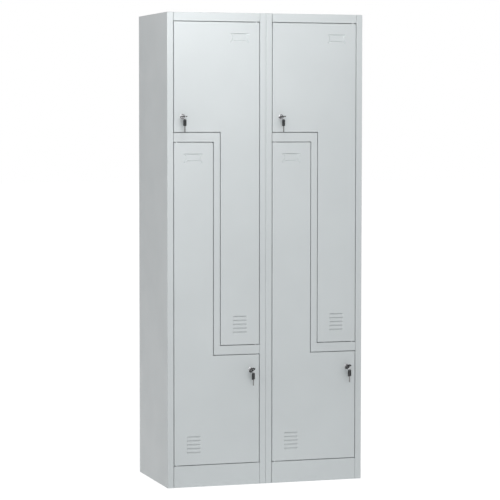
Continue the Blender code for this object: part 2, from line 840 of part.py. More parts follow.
def build_lock(name, carrier, place):
    """One lock on its door: sleeve, nut, plug, cam, key, and the spare key on its ring."""
    key_turn, spare_turn = (math.radians(turn) for turn in KEY_TURNS[name])
    spot = Vector((place[0], 0, place[1])) - carrier.location
    chrome = LOOKS["chrome"]
    steel = LOOKS["zinc"]
    piece(name + "_lock_housing", lock_housing(), chrome, carrier, centre=spot)
    piece(name + "_lock_nut", lock_nut(), steel, carrier, centre=spot)
    plug = piece(name + "_lock_plug", lock_plug(), chrome, carrier, centre=spot)
    plug.rotation_euler.y = key_turn
    piece(name + "_lock_cam", lock_cam(), steel, plug)
    piece(name + "_key", key(), LOOKS["key"], plug, centre=(0, BOW_END, 0))
    swing = empty(name + "_ring_swing", plug, (0, KEY_HOLE_Y, 0))
    swing.rotation_euler.y = -key_turn
    drop = ring_drop(KEY_TURNS[name][0])
    piece(name + "_key_ring", key_ring(), steel, swing, centre=(0, -RING_SHIFT, -drop))
    hole = Vector((0, -RING_SHIFT, -drop - RING_RADIUS - spare_drop(KEY_TURNS[name][1])))
    spare = piece(name + "_spare_key", key(), LOOKS["key"], swing)
    upright = Matrix.Rotation(spare_turn, 4, "Z") @ Matrix.Rotation(-math.pi / 2, 4, "X")
    below = Matrix.Translation((0, BOW_LENGTH - KEY_HOLE_EDGE, 0))
    spare.matrix_local = Matrix.Translation(hole) @ upright @ below


def build_door(column, name, outline, leg, span, lock, axis):
    """A door with its lock, and the two pins that it turns on."""
    bottom, top = span
    body = door(outline, leg, top, bottom, lock, axis)
    made = piece(name + "_door", body, LOOKS["door"], column, origin=(axis[0], axis[1], 0))
    build_lock(name, made, lock)
    for end, level, upward in (("top", top + DOOR_GAP, -1), ("bottom", bottom - DOOR_GAP, 1)):
        pin = hinge_pin(axis, level, upward)
        piece(name + "_" + end + "_pin", pin, LOOKS["zinc"], column, origin=(axis[0], axis[1], level))


def build_column(side, cabinet, left):
    """One column of the wardrobe, whose left side lies at the given place."""
    column = empty(side + "_column", cabinet, (left, 0, 0))
    paint = LOOKS["body"]
    piece(side + "_left_side_panel", side_panel(False), paint, column)
    piece(side + "_right_side_panel", side_panel(True), paint, column)
    piece(side + "_top_panel", top_panel(), paint, column)
    piece(side + "_base_panel", base_panel(), paint, column)
    piece(side + "_plinth", plinth(), paint, column)
    piece(side + "_back_panel", back_panel(), paint, column)
    piece(side + "_partition", partition(), paint, column)
    piece(side + "_front_frame", front_frame(), paint, column)
    upper_rail = hanging_rail(INSIDE_LEFT, INSIDE_RIGHT, HEIGHT - SHEET - RAIL_DROP)
    piece(side + "_upper_hanging_rail", upper_rail, LOOKS["zinc"], column)
    wall = (COLUMN_WIDTH - SHEET) / 2 - SEAT_GAP
    lower_rail = hanging_rail(INSIDE_LEFT, wall, HIGH_SHELF - SHEET - RAIL_DROP)
    piece(side + "_lower_hanging_rail", lower_rail, LOOKS["zinc"], column)
    leg = (MULLION_RIGHT + DOOR_GAP, DOOR_RIGHT)
    lock = (DOOR_LEFT + LOCK_INSET, UPPER_NOTCH + LOCK_RISE)
    span = (UPPER_LEG_BOTTOM, UPPER_TOP)
    build_door(column, side + "_upper", upper_outline(), leg, span, lock, upper_axis())
    leg = (DOOR_LEFT, MULLION_LEFT - DOOR_GAP)
    lock = (DOOR_RIGHT - LOCK_INSET, LOWER_STEP - LOCK_RISE)
    span = (LOWER_BOTTOM, LOWER_LEG_TOP)
    build_door(column, side + "_lower", lower_outline(), leg, span, lock, lower_axis())


for old in list(bpy.data.objects):
    bpy.data.objects.remove(old)

LOOKS = {
    "body": material("light_grey_paint", (0.72, 0.74, 0.75), 0.42, 0.0),
    "door": material("light_grey_door_paint", (0.74, 0.76, 0.77), 0.40, 0.0),
    "chrome": material("chromed_zinc", (0.80, 0.80, 0.81), 0.12, 1.0),
    "zinc": material("zinc_plated_steel", (0.62, 0.62, 0.63), 0.32, 1.0),
    "key": material("black_key_head", (0.02, 0.02, 0.02), 0.45, 0.0),
}

cabinet_frame = empty("cabinet", None, (0, FRONT_Y, 0))
build_column("left", cabinet_frame, -COLUMN_WIDTH - COLUMN_GAP / 2)
build_column("right", cabinet_frame, COLUMN_GAP / 2)
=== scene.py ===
import math

import bmesh
import bpy
from mathutils import Matrix, Vector


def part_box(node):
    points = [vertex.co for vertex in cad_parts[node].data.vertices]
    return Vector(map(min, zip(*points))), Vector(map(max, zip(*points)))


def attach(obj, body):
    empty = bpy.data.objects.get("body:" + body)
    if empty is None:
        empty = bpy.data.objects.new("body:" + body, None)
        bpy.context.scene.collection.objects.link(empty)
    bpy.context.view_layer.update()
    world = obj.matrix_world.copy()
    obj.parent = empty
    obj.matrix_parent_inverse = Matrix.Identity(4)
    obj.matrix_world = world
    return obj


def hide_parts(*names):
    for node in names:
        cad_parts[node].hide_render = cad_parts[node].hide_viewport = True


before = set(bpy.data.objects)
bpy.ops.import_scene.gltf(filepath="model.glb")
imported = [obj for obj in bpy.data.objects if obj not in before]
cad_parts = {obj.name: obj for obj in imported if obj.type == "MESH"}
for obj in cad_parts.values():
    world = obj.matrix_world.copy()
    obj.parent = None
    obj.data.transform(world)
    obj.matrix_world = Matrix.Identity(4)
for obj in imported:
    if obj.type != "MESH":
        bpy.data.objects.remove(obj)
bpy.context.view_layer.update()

# Lengths in metres, as in the part
SHEET = 0.001
BEND_RADIUS = 0.0018
SEAT_GAP = 0.0003
COLUMN_WIDTH = 0.401
HEIGHT = 1.850
DEPTH = 0.427
POST_FACE = 0.0246
RAIL_FACE = 0.0337
PLINTH_FACE = 0.0846
STRIP_FACE = 0.0355
MULLION_FACE = 0.0257
MEMBER_SEAM = 0.0012
STOP_DEPTH = 0.024
STOP_LIP = 0.010
FOOT_FLANGE = 0.018
REAR_FLANGE = 0.018
EDGE_FLANGE = 0.014
DOOR_GAP = 0.0025
DOOR_DEPTH = 0.015
DOOR_LIP = 0.010
WIDE_HEIGHT = 0.4267
PIN_RADIUS = 0.003
PIN_INSET = 0.012
PIN_SETBACK = 0.007
CUT_OVERRUN = 0.002
WELD_OVERLAP = 0.0005
MERGE_DISTANCE = 0.000003

# Louvres, card holder and lock places
LOUVRE_COUNT = 5
LOUVRE_WIDTH = 0.060
LOUVRE_HEIGHT = 0.0100
LOUVRE_PITCH = 0.0154
LOUVRE_DEPTH = 0.0042
LOUVRE_END = 0.006
LOUVRE_RISE = 0.051
LOUVRE_FOOT_SHARE = 0.35
LOUVRE_SLIT_RELIEF = 0.0002
PATCH_MARGIN = 0.002
CARD_WIDTH = 0.060
CARD_HEIGHT = 0.029
CARD_RECESS = 0.0027
CARD_WALL = 0.0013
CARD_SIDE_WALL = 0.0030
CARD_CREASE = 0.0018
CARD_CREASE_WIDTH = 0.0016
CARD_DROP = 0.0430
CARD_SHIFT = 0.002
CARD_EAR_WALL = 0.0026
CARD_EAR_BESIDE = 0.0085
CARD_EAR_BELOW = 0.007
CARD_EAR_INNER_X = 0.020
CARD_EAR_INNER_Z = 0.006
# Corners of the upper left and the lower left ear, from the middle of the card holder
CARD_EARS = (
    (
        (-0.022, 0.0145), (-0.0375, 0.0145), (-0.0385, 0.0130),
        (-0.0378, 0.0100), (-0.030, 0.006), (-0.022, 0.006),
    ),
    (
        (-0.030, -0.0085), (-0.0385, -0.0175), (-0.0385, -0.0205), (-0.0375, -0.0215),
        (-0.0325, -0.0215), (-0.0215, -0.013), (-0.020, -0.0085),
    ),
)
LOCK_INSET = 0.0343
LOCK_RISE = 0.0597
LOCK_FLANGE_RADIUS = 0.0105
LOCK_FLANGE_DEPTH = 0.002
LOCK_BODY_RADIUS = 0.009
LOCK_BODY_LENGTH = 0.021
# The flange's groove and bevel as (distance from the rim, depth, corner radius)
FLANGE_LINE = (
    (0.0032, 0.0001, 0.0002),
    (0.0025, 0.0015, 0.0001),
    (0.0018, 0.0001, 0.0002),
    (0, 0.0014, 0.0003),
)
MOUTH_EDGE = 0.0002
SEAT_EDGE = 0.0001
BARREL_EDGE = 0.0003
THREAD_PITCH = 0.001
THREAD_DEPTH = 0.0004
PLUG_RADIUS = 0.006
PLUG_PROUD = 0.0004
PLUG_EDGE = 0.0004
POLE_RADIUS = 0.00012
TENON = 0.007
SCREW_HEAD_RADIUS = 0.0055
SCREW_HEAD_DEPTH = 0.0025
SCREW_HEAD_EDGE = 0.0012
SCREW_POLE_RADIUS = 0.000275
SCREW_SLOT_DEPTH = 0.0011
SCREW_SLOT_WIDTH = 0.0012
CAM_THICKNESS = 0.002
CAM_CLEARANCE = 0.0006

# Keys and rings
BOW_WIDTH = 0.0245
BOW_LENGTH = 0.0265
BOW_THICKNESS = 0.0032
BOW_CORNER = 0.007
BOW_SHOULDER_CORNER = 0.004
BOW_EDGE = 0.0007
BOW_STANDOFF = 0.0025
BOW_BORDER = 0.003
FIELD_DEPTH = 0.00045
FIELD_EDGE = 0.0003
FIELD_CORNER = 0.0025
FIELD_HOLE_CORNER = 0.0018
FIELD_HOLE_BORDER = 0.0022
HOLE_CHAMFER = 0.0005
KEY_HOLE_RADIUS = 0.0036
KEY_HOLE_EDGE = 0.0052
KEY_HOLE_SIDES = 12
BLADE_LENGTH = 0.024
BLADE_WIDTH = 0.007
BLADE_THICKNESS = 0.002
BLADE_TIP = 0.002
BIT_COUNT = 4
BIT_DEPTH = 0.0016
BIT_END_SHARE = 0.25
BIT_SPAN_SHARE = 0.6
BIT_CREST_EDGE = 0.0003
BIT_VALLEY_EDGE = 0.0004
BLADE_TIP_EDGE = 0.0005
BLADE_GROOVE_DEPTH = 0.00045
# Where a groove runs, in shares of half the blade's width
BLADE_GROOVE_SPAN = (-0.45, 0.1)
BLADE_BEVEL = 0.0001
RING_RADIUS = 0.009
RING_WIRE_RADIUS = 0.0007
RING_COIL_WIRE = 0.00036
RING_COIL_SHIFT = 0.00032
RING_START_ANGLE = 0.5
RING_STEP_OVER_SHARE = 0.08
RING_PLAY = 0.0012
RAIL_RADIUS = 0.008
RAIL_SOCKET_RADIUS = 0.014
RAIL_SOCKET_DEPTH = 0.006
RAIL_SOCKET_RIM = 0.002
RAIL_SOCKET_EDGE = 0.0012
RAIL_DROP = 0.055
# Degrees that each lock's key and spare key are turned at rest
KEY_TURNS = {
    "left_upper": (-5, 50),
    "left_lower": (-38, 50),
    "right_upper": (-12, 50),
    "right_lower": (-38, 43),
}

# Fineness of the meshes
BEND_STEPS = 7
CORNER_STEPS = 5
NOTCH_RADIUS = 0.0006
LOUVRE_END_STEPS = 8
LOUVRE_ROW_STEPS = 9
CARD_EDGE_GRID = 0.0034
CARD_EDGE_STEPS = 16
CARD_EAR_GRID = 0.0005
HOLE_SIDES = 48
LOCK_EDGE_STEPS = 3
SCREW_EDGE_STEPS = 4
BOW_CORNER_STEPS = 8
FIELD_CORNER_STEPS = 5
BLADE_CORNER_STEPS = 3
PILLOW_STEPS = 4
RING_STEPS = 144
RING_SIDES = 10
ROUND_SIDES = 64
PIN_HOLE_SIDES = 32
BEVEL_STEPS = 2
PLACE_DIGITS = 7
SMOOTH_ANGLE = 32

# Places worked out as in the part
LOWER_BOTTOM = PLINTH_FACE + DOOR_GAP
LOWER_STEP = LOWER_BOTTOM + WIDE_HEIGHT
LOW_STRIP_BOTTOM = LOWER_STEP + DOOR_GAP
LOW_STRIP_TOP = LOW_STRIP_BOTTOM + STRIP_FACE
UPPER_LEG_BOTTOM = LOW_STRIP_TOP + DOOR_GAP
RAIL_BOTTOM = HEIGHT - RAIL_FACE
UPPER_TOP = RAIL_BOTTOM - DOOR_GAP
UPPER_NOTCH = UPPER_TOP - WIDE_HEIGHT
HIGH_STRIP_TOP = UPPER_NOTCH - DOOR_GAP
HIGH_STRIP_BOTTOM = HIGH_STRIP_TOP - STRIP_FACE
LOWER_LEG_TOP = HIGH_STRIP_BOTTOM - DOOR_GAP
HIGH_SHELF = (HIGH_STRIP_BOTTOM + HIGH_STRIP_TOP + SHEET) / 2
DOOR_LEFT = POST_FACE + DOOR_GAP
DOOR_RIGHT = COLUMN_WIDTH - DOOR_LEFT
MULLION_LEFT = (COLUMN_WIDTH - MULLION_FACE) / 2
MULLION_RIGHT = COLUMN_WIDTH - MULLION_LEFT
MEMBER_LEFT = POST_FACE + MEMBER_SEAM
MEMBER_RIGHT = COLUMN_WIDTH - MEMBER_LEFT
INSIDE_LEFT = SHEET + SEAT_GAP
INSIDE_RIGHT = COLUMN_WIDTH - INSIDE_LEFT
MEMBER_STOP = STOP_DEPTH - SEAT_GAP - SHEET
CAM_FRONT = STOP_DEPTH + SHEET + CAM_CLEARANCE
CAM_BACK = CAM_FRONT + CAM_THICKNESS
LOCK_FACE = -SEAT_GAP - LOCK_FLANGE_DEPTH
PLUG_FACE = LOCK_FACE - PLUG_PROUD
BOW_END = PLUG_FACE - BOW_STANDOFF
KEY_HOLE_Y = BOW_END - BOW_LENGTH + KEY_HOLE_EDGE
RING_SHIFT = KEY_HOLE_EDGE + RING_WIRE_RADIUS * 2
UPPER_AXIS = (DOOR_RIGHT - PIN_INSET, PIN_SETBACK)
LOWER_AXIS = (DOOR_LEFT + PIN_INSET, PIN_SETBACK)
UPPER_LOCK = (DOOR_LEFT + LOCK_INSET, UPPER_NOTCH + LOCK_RISE)
LOWER_LOCK = (DOOR_RIGHT - LOCK_INSET, LOWER_STEP - LOCK_RISE)
FRONT_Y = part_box("left_left_side_panel")[0].y


# Shapes

def along(axis, u, v, w):
    """A point whose section place is (u, v) and whose place along the axis is w."""
    if axis == "X":
        return Vector((w, u, v))
    if axis == "Y":
        return Vector((u, w, v))
    return Vector((u, v, w))


def bridge(body, first, second, closed=True):
    """Faces between two rows of vertices, leaving out corners that coincide."""
    count = len(first)
    for index in range(count if closed else count - 1):
        following = (index + 1) % count
        corners = (first[index], first[following], second[following], second[index])
        corners = list(dict.fromkeys(corners))
        if len(corners) > 2:
            body.faces.new(corners)


def rings_body(rings, hollow=False):
    """A closed body through a list of rings of points, capped or joined end to end."""
    body = bmesh.new()
    made = [[body.verts.new(point) for point in ring] for ring in rings]
    for first, second in zip(made, made[1:]):
        bridge(body, first, second)
    if hollow:
        bridge(body, made[-1], made[0])
    else:
        body.faces.new(made[0])
        body.faces.new(made[-1])
    bmesh.ops.recalc_face_normals(body, faces=body.faces)
    return body


def prism(outline, axis, start, end):
    """An outline carried straight along an axis."""
    return rings_body([[along(axis, u, v, place) for u, v in outline] for place in (start, end)])


def block(x_span, y_span, z_span):
    """A box between two places on each axis, used for cutting and joining."""
    left, right = x_span
    front, back = y_span
    outline = [(left, front), (right, front), (right, back), (left, back)]
    return prism(outline, "Z", *z_span)


def turned(profile, axis, centre=(0, 0), hollow=False, sides=ROUND_SIDES):
    """A profile of (radius, place) turned about an axis through a centre."""
    rings = []
    for radius, place in profile:
        ring = []
        for index in range(sides):
            angle = math.tau * index / sides
            u = centre[0] + radius * math.cos(angle)
            v = centre[1] + radius * math.sin(angle)
            ring.append(along(axis, u, v, place))
        rings.append(ring)
    return rings_body(rings, hollow)


def rounded(corners, steps=CORNER_STEPS, closed=True):
    """A line whose corners, given as (u, v, radius), are rounded off."""
    outline = []
    count = len(corners)
    for index, (u, v, radius) in enumerate(corners):
        end = not closed and index in (0, count - 1)
        if radius == 0 or end:
            outline.append((u, v))
            continue
        here = Vector((u, v))
        before = (Vector(corners[index - 1][:2]) - here).normalized()
        after = (Vector(corners[(index + 1) % count][:2]) - here).normalized()
        half = before.angle(after) / 2
        centre = here + (before + after).normalized() * radius / math.sin(half)
        start = here + before * radius / math.tan(half) - centre
        stop = here + after * radius / math.tan(half) - centre
        turn = math.atan2(start.x * stop.y - start.y * stop.x, start.dot(stop))
        for step in range(steps + 1):
            spoke = Matrix.Rotation(turn * step / steps, 2) @ start
            outline.append(tuple(centre + spoke))
    return outline


def gathered(bodies):
    """Several separate bodies in one mesh."""
    whole = bmesh.new()
    carrier = bpy.data.meshes.new("carrier")
    for body in bodies:
        body.to_mesh(carrier)
        whole.from_mesh(carrier)
        body.free()
    bpy.data.meshes.remove(carrier)
    return whole


def helper(name, body):
    """A short-lived object that holds one body."""
    mesh = bpy.data.meshes.new(name)
    body.to_mesh(mesh)
    body.free()
    made = bpy.data.objects.new(name, mesh)
    made.hide_render = True
    bpy.context.scene.collection.objects.link(made)
    return made


def settled(base, *spent):
    """The mesh of an object after its modifiers. The object and its helpers go."""
    graph = bpy.context.evaluated_depsgraph_get()
    result = bmesh.new()
    result.from_mesh(base.evaluated_get(graph).data)
    for used in (base, *spent):
        mesh = used.data
        bpy.data.objects.remove(used)
        bpy.data.meshes.remove(mesh)
    return result


def combined(body, tool, operation):
    """Body and tool after a Boolean, which uses both up."""
    base = helper("base", body)
    cutter = helper("cutter", tool)
    modifier = base.modifiers.new("Cut", "BOOLEAN")
    modifier.solver = "EXACT"
    modifier.operation = operation
    modifier.object = cutter
    return settled(base, cutter)


def thickened(body):
    """An open skin turned into a sheet, with the steel behind the skin."""
    base = helper("skin", body)
    modifier = base.modifiers.new("Sheet", "SOLIDIFY")
    modifier.thickness = SHEET
    modifier.offset = -1
    modifier.use_even_offset = True
    modifier.use_quality_normals = True
    return settled(base)


def sheet_skins(path):
    """Both skins of a folded sheet. The path is one skin, and the steel lies on its right."""
    corners = [Vector(point) for point in path]
    way = (corners[1] - corners[0]).normalized()
    right = Vector((way.y, -way.x))
    skin = [tuple(corners[0])]
    steel = [tuple(corners[0] + right * SHEET)]
    for before, here, after in zip(corners, corners[1:], corners[2:]):
        way = (here - before).normalized()
        onward = (after - here).normalized()
        turn = math.atan2(way.x * onward.y - way.y * onward.x, way.dot(onward))
        side = Vector((way.y, -way.x)) * (1 if turn < 0 else -1)
        radius = BEND_RADIUS if turn < 0 else BEND_RADIUS - SHEET
        steel_radius = BEND_RADIUS - SHEET if turn < 0 else BEND_RADIUS
        centre = here - way * radius * math.tan(abs(turn) / 2) + side * radius
        for step in range(BEND_STEPS + 1):
            spoke = Matrix.Rotation(turn * step / BEND_STEPS, 2) @ -side
            skin.append(tuple(centre + spoke * radius))
            steel.append(tuple(centre + spoke * steel_radius))
    way = (corners[-1] - corners[-2]).normalized()
    right = Vector((way.y, -way.x))
    skin.append(tuple(corners[-1]))
    steel.append(tuple(corners[-1] + right * SHEET))
    return skin, steel


def folded(path, axis, start, end):
    """A folded sheet carried along an axis."""
    skin, steel = sheet_skins(path)
    return prism(skin + steel[::-1], axis, start, end)


def pin_hole(centre, level, through):
    """Cutter for a pin's hole in a level sheet whose outer skin is at the given level."""
    low = min(level, level + through) - CUT_OVERRUN
    high = max(level, level + through) + CUT_OVERRUN
    radius = PIN_RADIUS + SEAT_GAP
    return turned([(radius, low), (radius, high)], "Z", centre, sides=PIN_HOLE_SIDES)


# Cabinet

def side_panel(mirrored):
    """Side wall with the front post, its door stop and the rear flange."""
    path = [
        (POST_FACE + STOP_LIP, STOP_DEPTH),
        (POST_FACE, STOP_DEPTH),
        (POST_FACE, 0),
        (0, 0),
        (0, DEPTH),
        (REAR_FLANGE, DEPTH),
    ]
    if mirrored:
        path = [(COLUMN_WIDTH - x, y) for x, y in reversed(path)]
    return folded(path, "Z", 0, HEIGHT - SHEET - SEAT_GAP)


def top_panel():
    """Roof with the front rail and its door stop, and the rear flange."""
    path = [
        (MEMBER_STOP, RAIL_BOTTOM - STOP_LIP),
        (MEMBER_STOP, RAIL_BOTTOM),
        (0, RAIL_BOTTOM),
        (0, HEIGHT),
        (DEPTH, HEIGHT),
        (DEPTH, HEIGHT - EDGE_FLANGE),
    ]
    body = folded(path, "X", MEMBER_LEFT, MEMBER_RIGHT)
    roof = (HEIGHT - SHEET, HEIGHT)
    wings = [
        block((0, MEMBER_LEFT + WELD_OVERLAP), (0, DEPTH), roof),
        block((MEMBER_RIGHT - WELD_OVERLAP, COLUMN_WIDTH), (0, DEPTH), roof),
    ]
    body = combined(body, gathered(wings), "UNION")
    return combined(body, pin_hole(UPPER_AXIS, RAIL_BOTTOM, SHEET), "DIFFERENCE")


def plinth():
    """Kick plate with a foot flange, and the ledge and door stop above it."""
    path = [
        (FOOT_FLANGE, 0),
        (0, 0),
        (0, PLINTH_FACE),
        (MEMBER_STOP, PLINTH_FACE),
        (MEMBER_STOP, PLINTH_FACE + STOP_LIP),
    ]
    body = folded(path, "X", MEMBER_LEFT, MEMBER_RIGHT)
    return combined(body, pin_hole(LOWER_AXIS, PLINTH_FACE, -SHEET), "DIFFERENCE")


def strip_section(width):
    """Section of the strip between the doors: its face, a return on each side, and two stops."""
    path = [
        (STOP_LIP, MEMBER_STOP),
        (0, MEMBER_STOP),
        (0, 0),
        (-width, 0),
        (-width, MEMBER_STOP),
        (-width - STOP_LIP, MEMBER_STOP),
    ]
    skin, steel = sheet_skins(path)
    return skin + steel[::-1]


def front_frame():
    """The Z-shaped strip between the doors, mitred at its two corners."""
    level = strip_section(STRIP_FACE)
    upright = strip_section(MULLION_FACE)
    rings = []
    for place, corner, top in (
        (MEMBER_LEFT, False, HIGH_STRIP_TOP),
        (MULLION_RIGHT, True, HIGH_STRIP_TOP),
        (MULLION_RIGHT, True, LOW_STRIP_TOP),
        (MEMBER_RIGHT, False, LOW_STRIP_TOP),
    ):
        ring = []
        for (across, depth), (sideways, _) in zip(level, upright):
            ring.append(Vector((place + (sideways if corner else 0), depth, top + across)))
        rings.append(ring)
    holes = [
        pin_hole(LOWER_AXIS, HIGH_STRIP_BOTTOM, SHEET),
        pin_hole(UPPER_AXIS, LOW_STRIP_TOP, -SHEET),
    ]
    return combined(rings_body(rings), gathered(holes), "DIFFERENCE")


def hanging_rail(start, end, height):
    """A clothes rail across a compartment, with a dished socket at each end."""
    soft = RAIL_SOCKET_EDGE
    profile = rounded([
        (RAIL_SOCKET_RADIUS, start, 0),
        (RAIL_SOCKET_RADIUS, start + RAIL_SOCKET_RIM, soft),
        (RAIL_RADIUS + 2 * soft, start + RAIL_SOCKET_DEPTH, soft),
        (RAIL_RADIUS, start + RAIL_SOCKET_DEPTH, 0),
        (RAIL_RADIUS, end - RAIL_SOCKET_DEPTH, 0),
        (RAIL_RADIUS + 2 * soft, end - RAIL_SOCKET_DEPTH, soft),
        (RAIL_SOCKET_RADIUS, end - RAIL_SOCKET_RIM, soft),
        (RAIL_SOCKET_RADIUS, end, 0),
    ], closed=False)
    return turned(profile, "X", (DEPTH / 2, height))


# Doors

def smooth_step(share):
    """Nought to one with a level start and end."""
    share = min(max(share, 0), 1)
    return share * share * (3 - 2 * share)


def outline_ring(outline, distance):
    """The door's outline drawn in by a distance, with its corners rounded."""
    ring = []
    count = len(outline)
    for index, corner in enumerate(outline):
        here = Vector(corner)
        way = (here - Vector(outline[index - 1])).normalized()
        onward = (Vector(outline[(index + 1) % count]) - here).normalized()
        first = Vector((-way.y, way.x))
        second = Vector((-onward.y, onward.x))
        if way.x * onward.y - way.y * onward.x > 0:
            reach = max(BEND_RADIUS, distance)
            centre = here + (first + second) * reach
            start, stop, radius = -first, -second, reach - distance
        else:
            centre = here - (first + second) * NOTCH_RADIUS
            start, stop, radius = first, second, NOTCH_RADIUS + distance
        turn = math.atan2(start.x * stop.y - start.y * stop.x, start.dot(stop))
        for step in range(CORNER_STEPS + 1):
            spoke = Matrix.Rotation(turn * step / CORNER_STEPS, 2) @ start
            ring.append(centre + spoke * radius)
    return ring


def louvre_grid():
    """Places across the louvres' grid, and its rows as (height, depth, open above)."""
    half = LOUVRE_WIDTH / 2
    steps = range(LOUVRE_END_STEPS + 1)
    across = [half + PATCH_MARGIN]
    across += [half - LOUVRE_END * step / LOUVRE_END_STEPS for step in steps]
    across.append(half / 2)
    columns = [-place for place in across] + [0] + across[::-1]
    # A louvre's foot curves out of the face, and the rest runs straight to the slit
    foot = LOUVRE_FOOT_SHARE
    rows = [(-LOUVRE_HEIGHT - PATCH_MARGIN, 0, False)]
    for louvre in range(LOUVRE_COUNT):
        slit = LOUVRE_PITCH * louvre
        for step in range(LOUVRE_ROW_STEPS + 1):
            share = step / LOUVRE_ROW_STEPS
            rise = share ** 2 / (2 * foot) if share < foot else share - foot / 2
            depth = LOUVRE_DEPTH * rise / (1 - foot / 2)
            height = slit - LOUVRE_HEIGHT * (1 - share)
            rows.append((height, depth, step == LOUVRE_ROW_STEPS))
        rows.append((slit + LOUVRE_SLIT_RELIEF, 0, False))
    rows.append((rows[-1][0] + PATCH_MARGIN, 0, False))
    return columns, rows


def louvre_depth(across, depth):
    """Depth of a louvre's row at a place across it, fading out at the two ends."""
    return depth * smooth_step((LOUVRE_WIDTH / 2 - abs(across)) / LOUVRE_END)


def card_lines(half, reach, inner):
    """Grid lines one way over the card holder: its walls and ears in short steps, out to in."""
    wall_steps = range(CARD_EDGE_STEPS + 1)
    edge = [half - CARD_EDGE_GRID * step / CARD_EDGE_STEPS for step in wall_steps]
    beyond = round(reach / CARD_EAR_GRID)
    outer = [half + reach * step / beyond for step in range(beyond, 0, -1)]
    within = round((edge[-1] - inner) / CARD_EAR_GRID)
    inward = [edge[-1] + (inner - edge[-1]) * step / within for step in range(1, within + 1)]
    lines = [outer[0] + PATCH_MARGIN, *outer, *edge, *inward]
    return [-place for place in lines] + [0] + lines[::-1]


def ear_reach(across, up):
    """How far a place lies inside the nearest ear of the card holder."""
    spot = Vector((-abs(across), up))
    reaches = []
    for ear in CARD_EARS:
        away = []
        for first, second in zip(ear, ear[1:] + ear[:1]):
            first = Vector(first)
            way = (Vector(second) - first).normalized()
            off = spot - first
            away.append(way.x * off.y - way.y * off.x)
        reaches.append(min(away))
    return max(reaches)


def card_depth(across, up):
    """Depth of the card holder: flared ears, soft side walls, and steep creased other walls."""
    ear = ear_reach(across, up)
    within = CARD_HEIGHT / 2 - abs(up)
    sides = smooth_step((CARD_WIDTH / 2 - abs(across)) / CARD_SIDE_WALL)
    crease_place = CARD_WALL + CARD_CREASE_WIDTH / 2
    crease = max(0, 1 - abs(within - crease_place) * 2 / CARD_CREASE_WIDTH)
    crease *= sides * (1 - smooth_step(ear / CARD_EAR_WALL))
    recess = max(sides * smooth_step(within / CARD_WALL), smooth_step(ear / CARD_EAR_WALL))
    return CARD_RECESS * recess + CARD_CREASE * crease


def flat_cells(levels, spaces, span_at):
    """Cells (left, right, low, high) that cover the face between its spaces, level by level."""
    cells = []
    for low, high in zip(levels, levels[1:]):
        edge, end = span_at((low + high) / 2)
        for left, right, space_low, space_high in spaces:
            if space_low - MERGE_DISTANCE < low and high < space_high + MERGE_DISTANCE:
                cells.append((edge, left, low, high))
                edge = right
        cells.append((edge, end, low, high))
    return cells


def cell_loop(known, left, right, low, high):
    """The vertices of the face on a cell's border, from its lower left corner anticlockwise."""
    near = MERGE_DISTANCE
    sides = ([], [], [], [])
    for (x, y, z), spot in known.items():
        if y != 0 or not (left - near < x < right + near and low - near < z < high + near):
            continue
        if abs(z - low) < near:
            sides[0].append((x, spot))
        if abs(x - right) < near:
            sides[1].append((z, spot))
        if abs(z - high) < near:
            sides[2].append((-x, spot))
        if abs(x - left) < near:
            sides[3].append((-z, spot))
    loop = []
    for side in sides:
        loop += [spot for _, spot in sorted(side, key=lambda entry: entry[0])]
    return list(dict.fromkeys(loop))


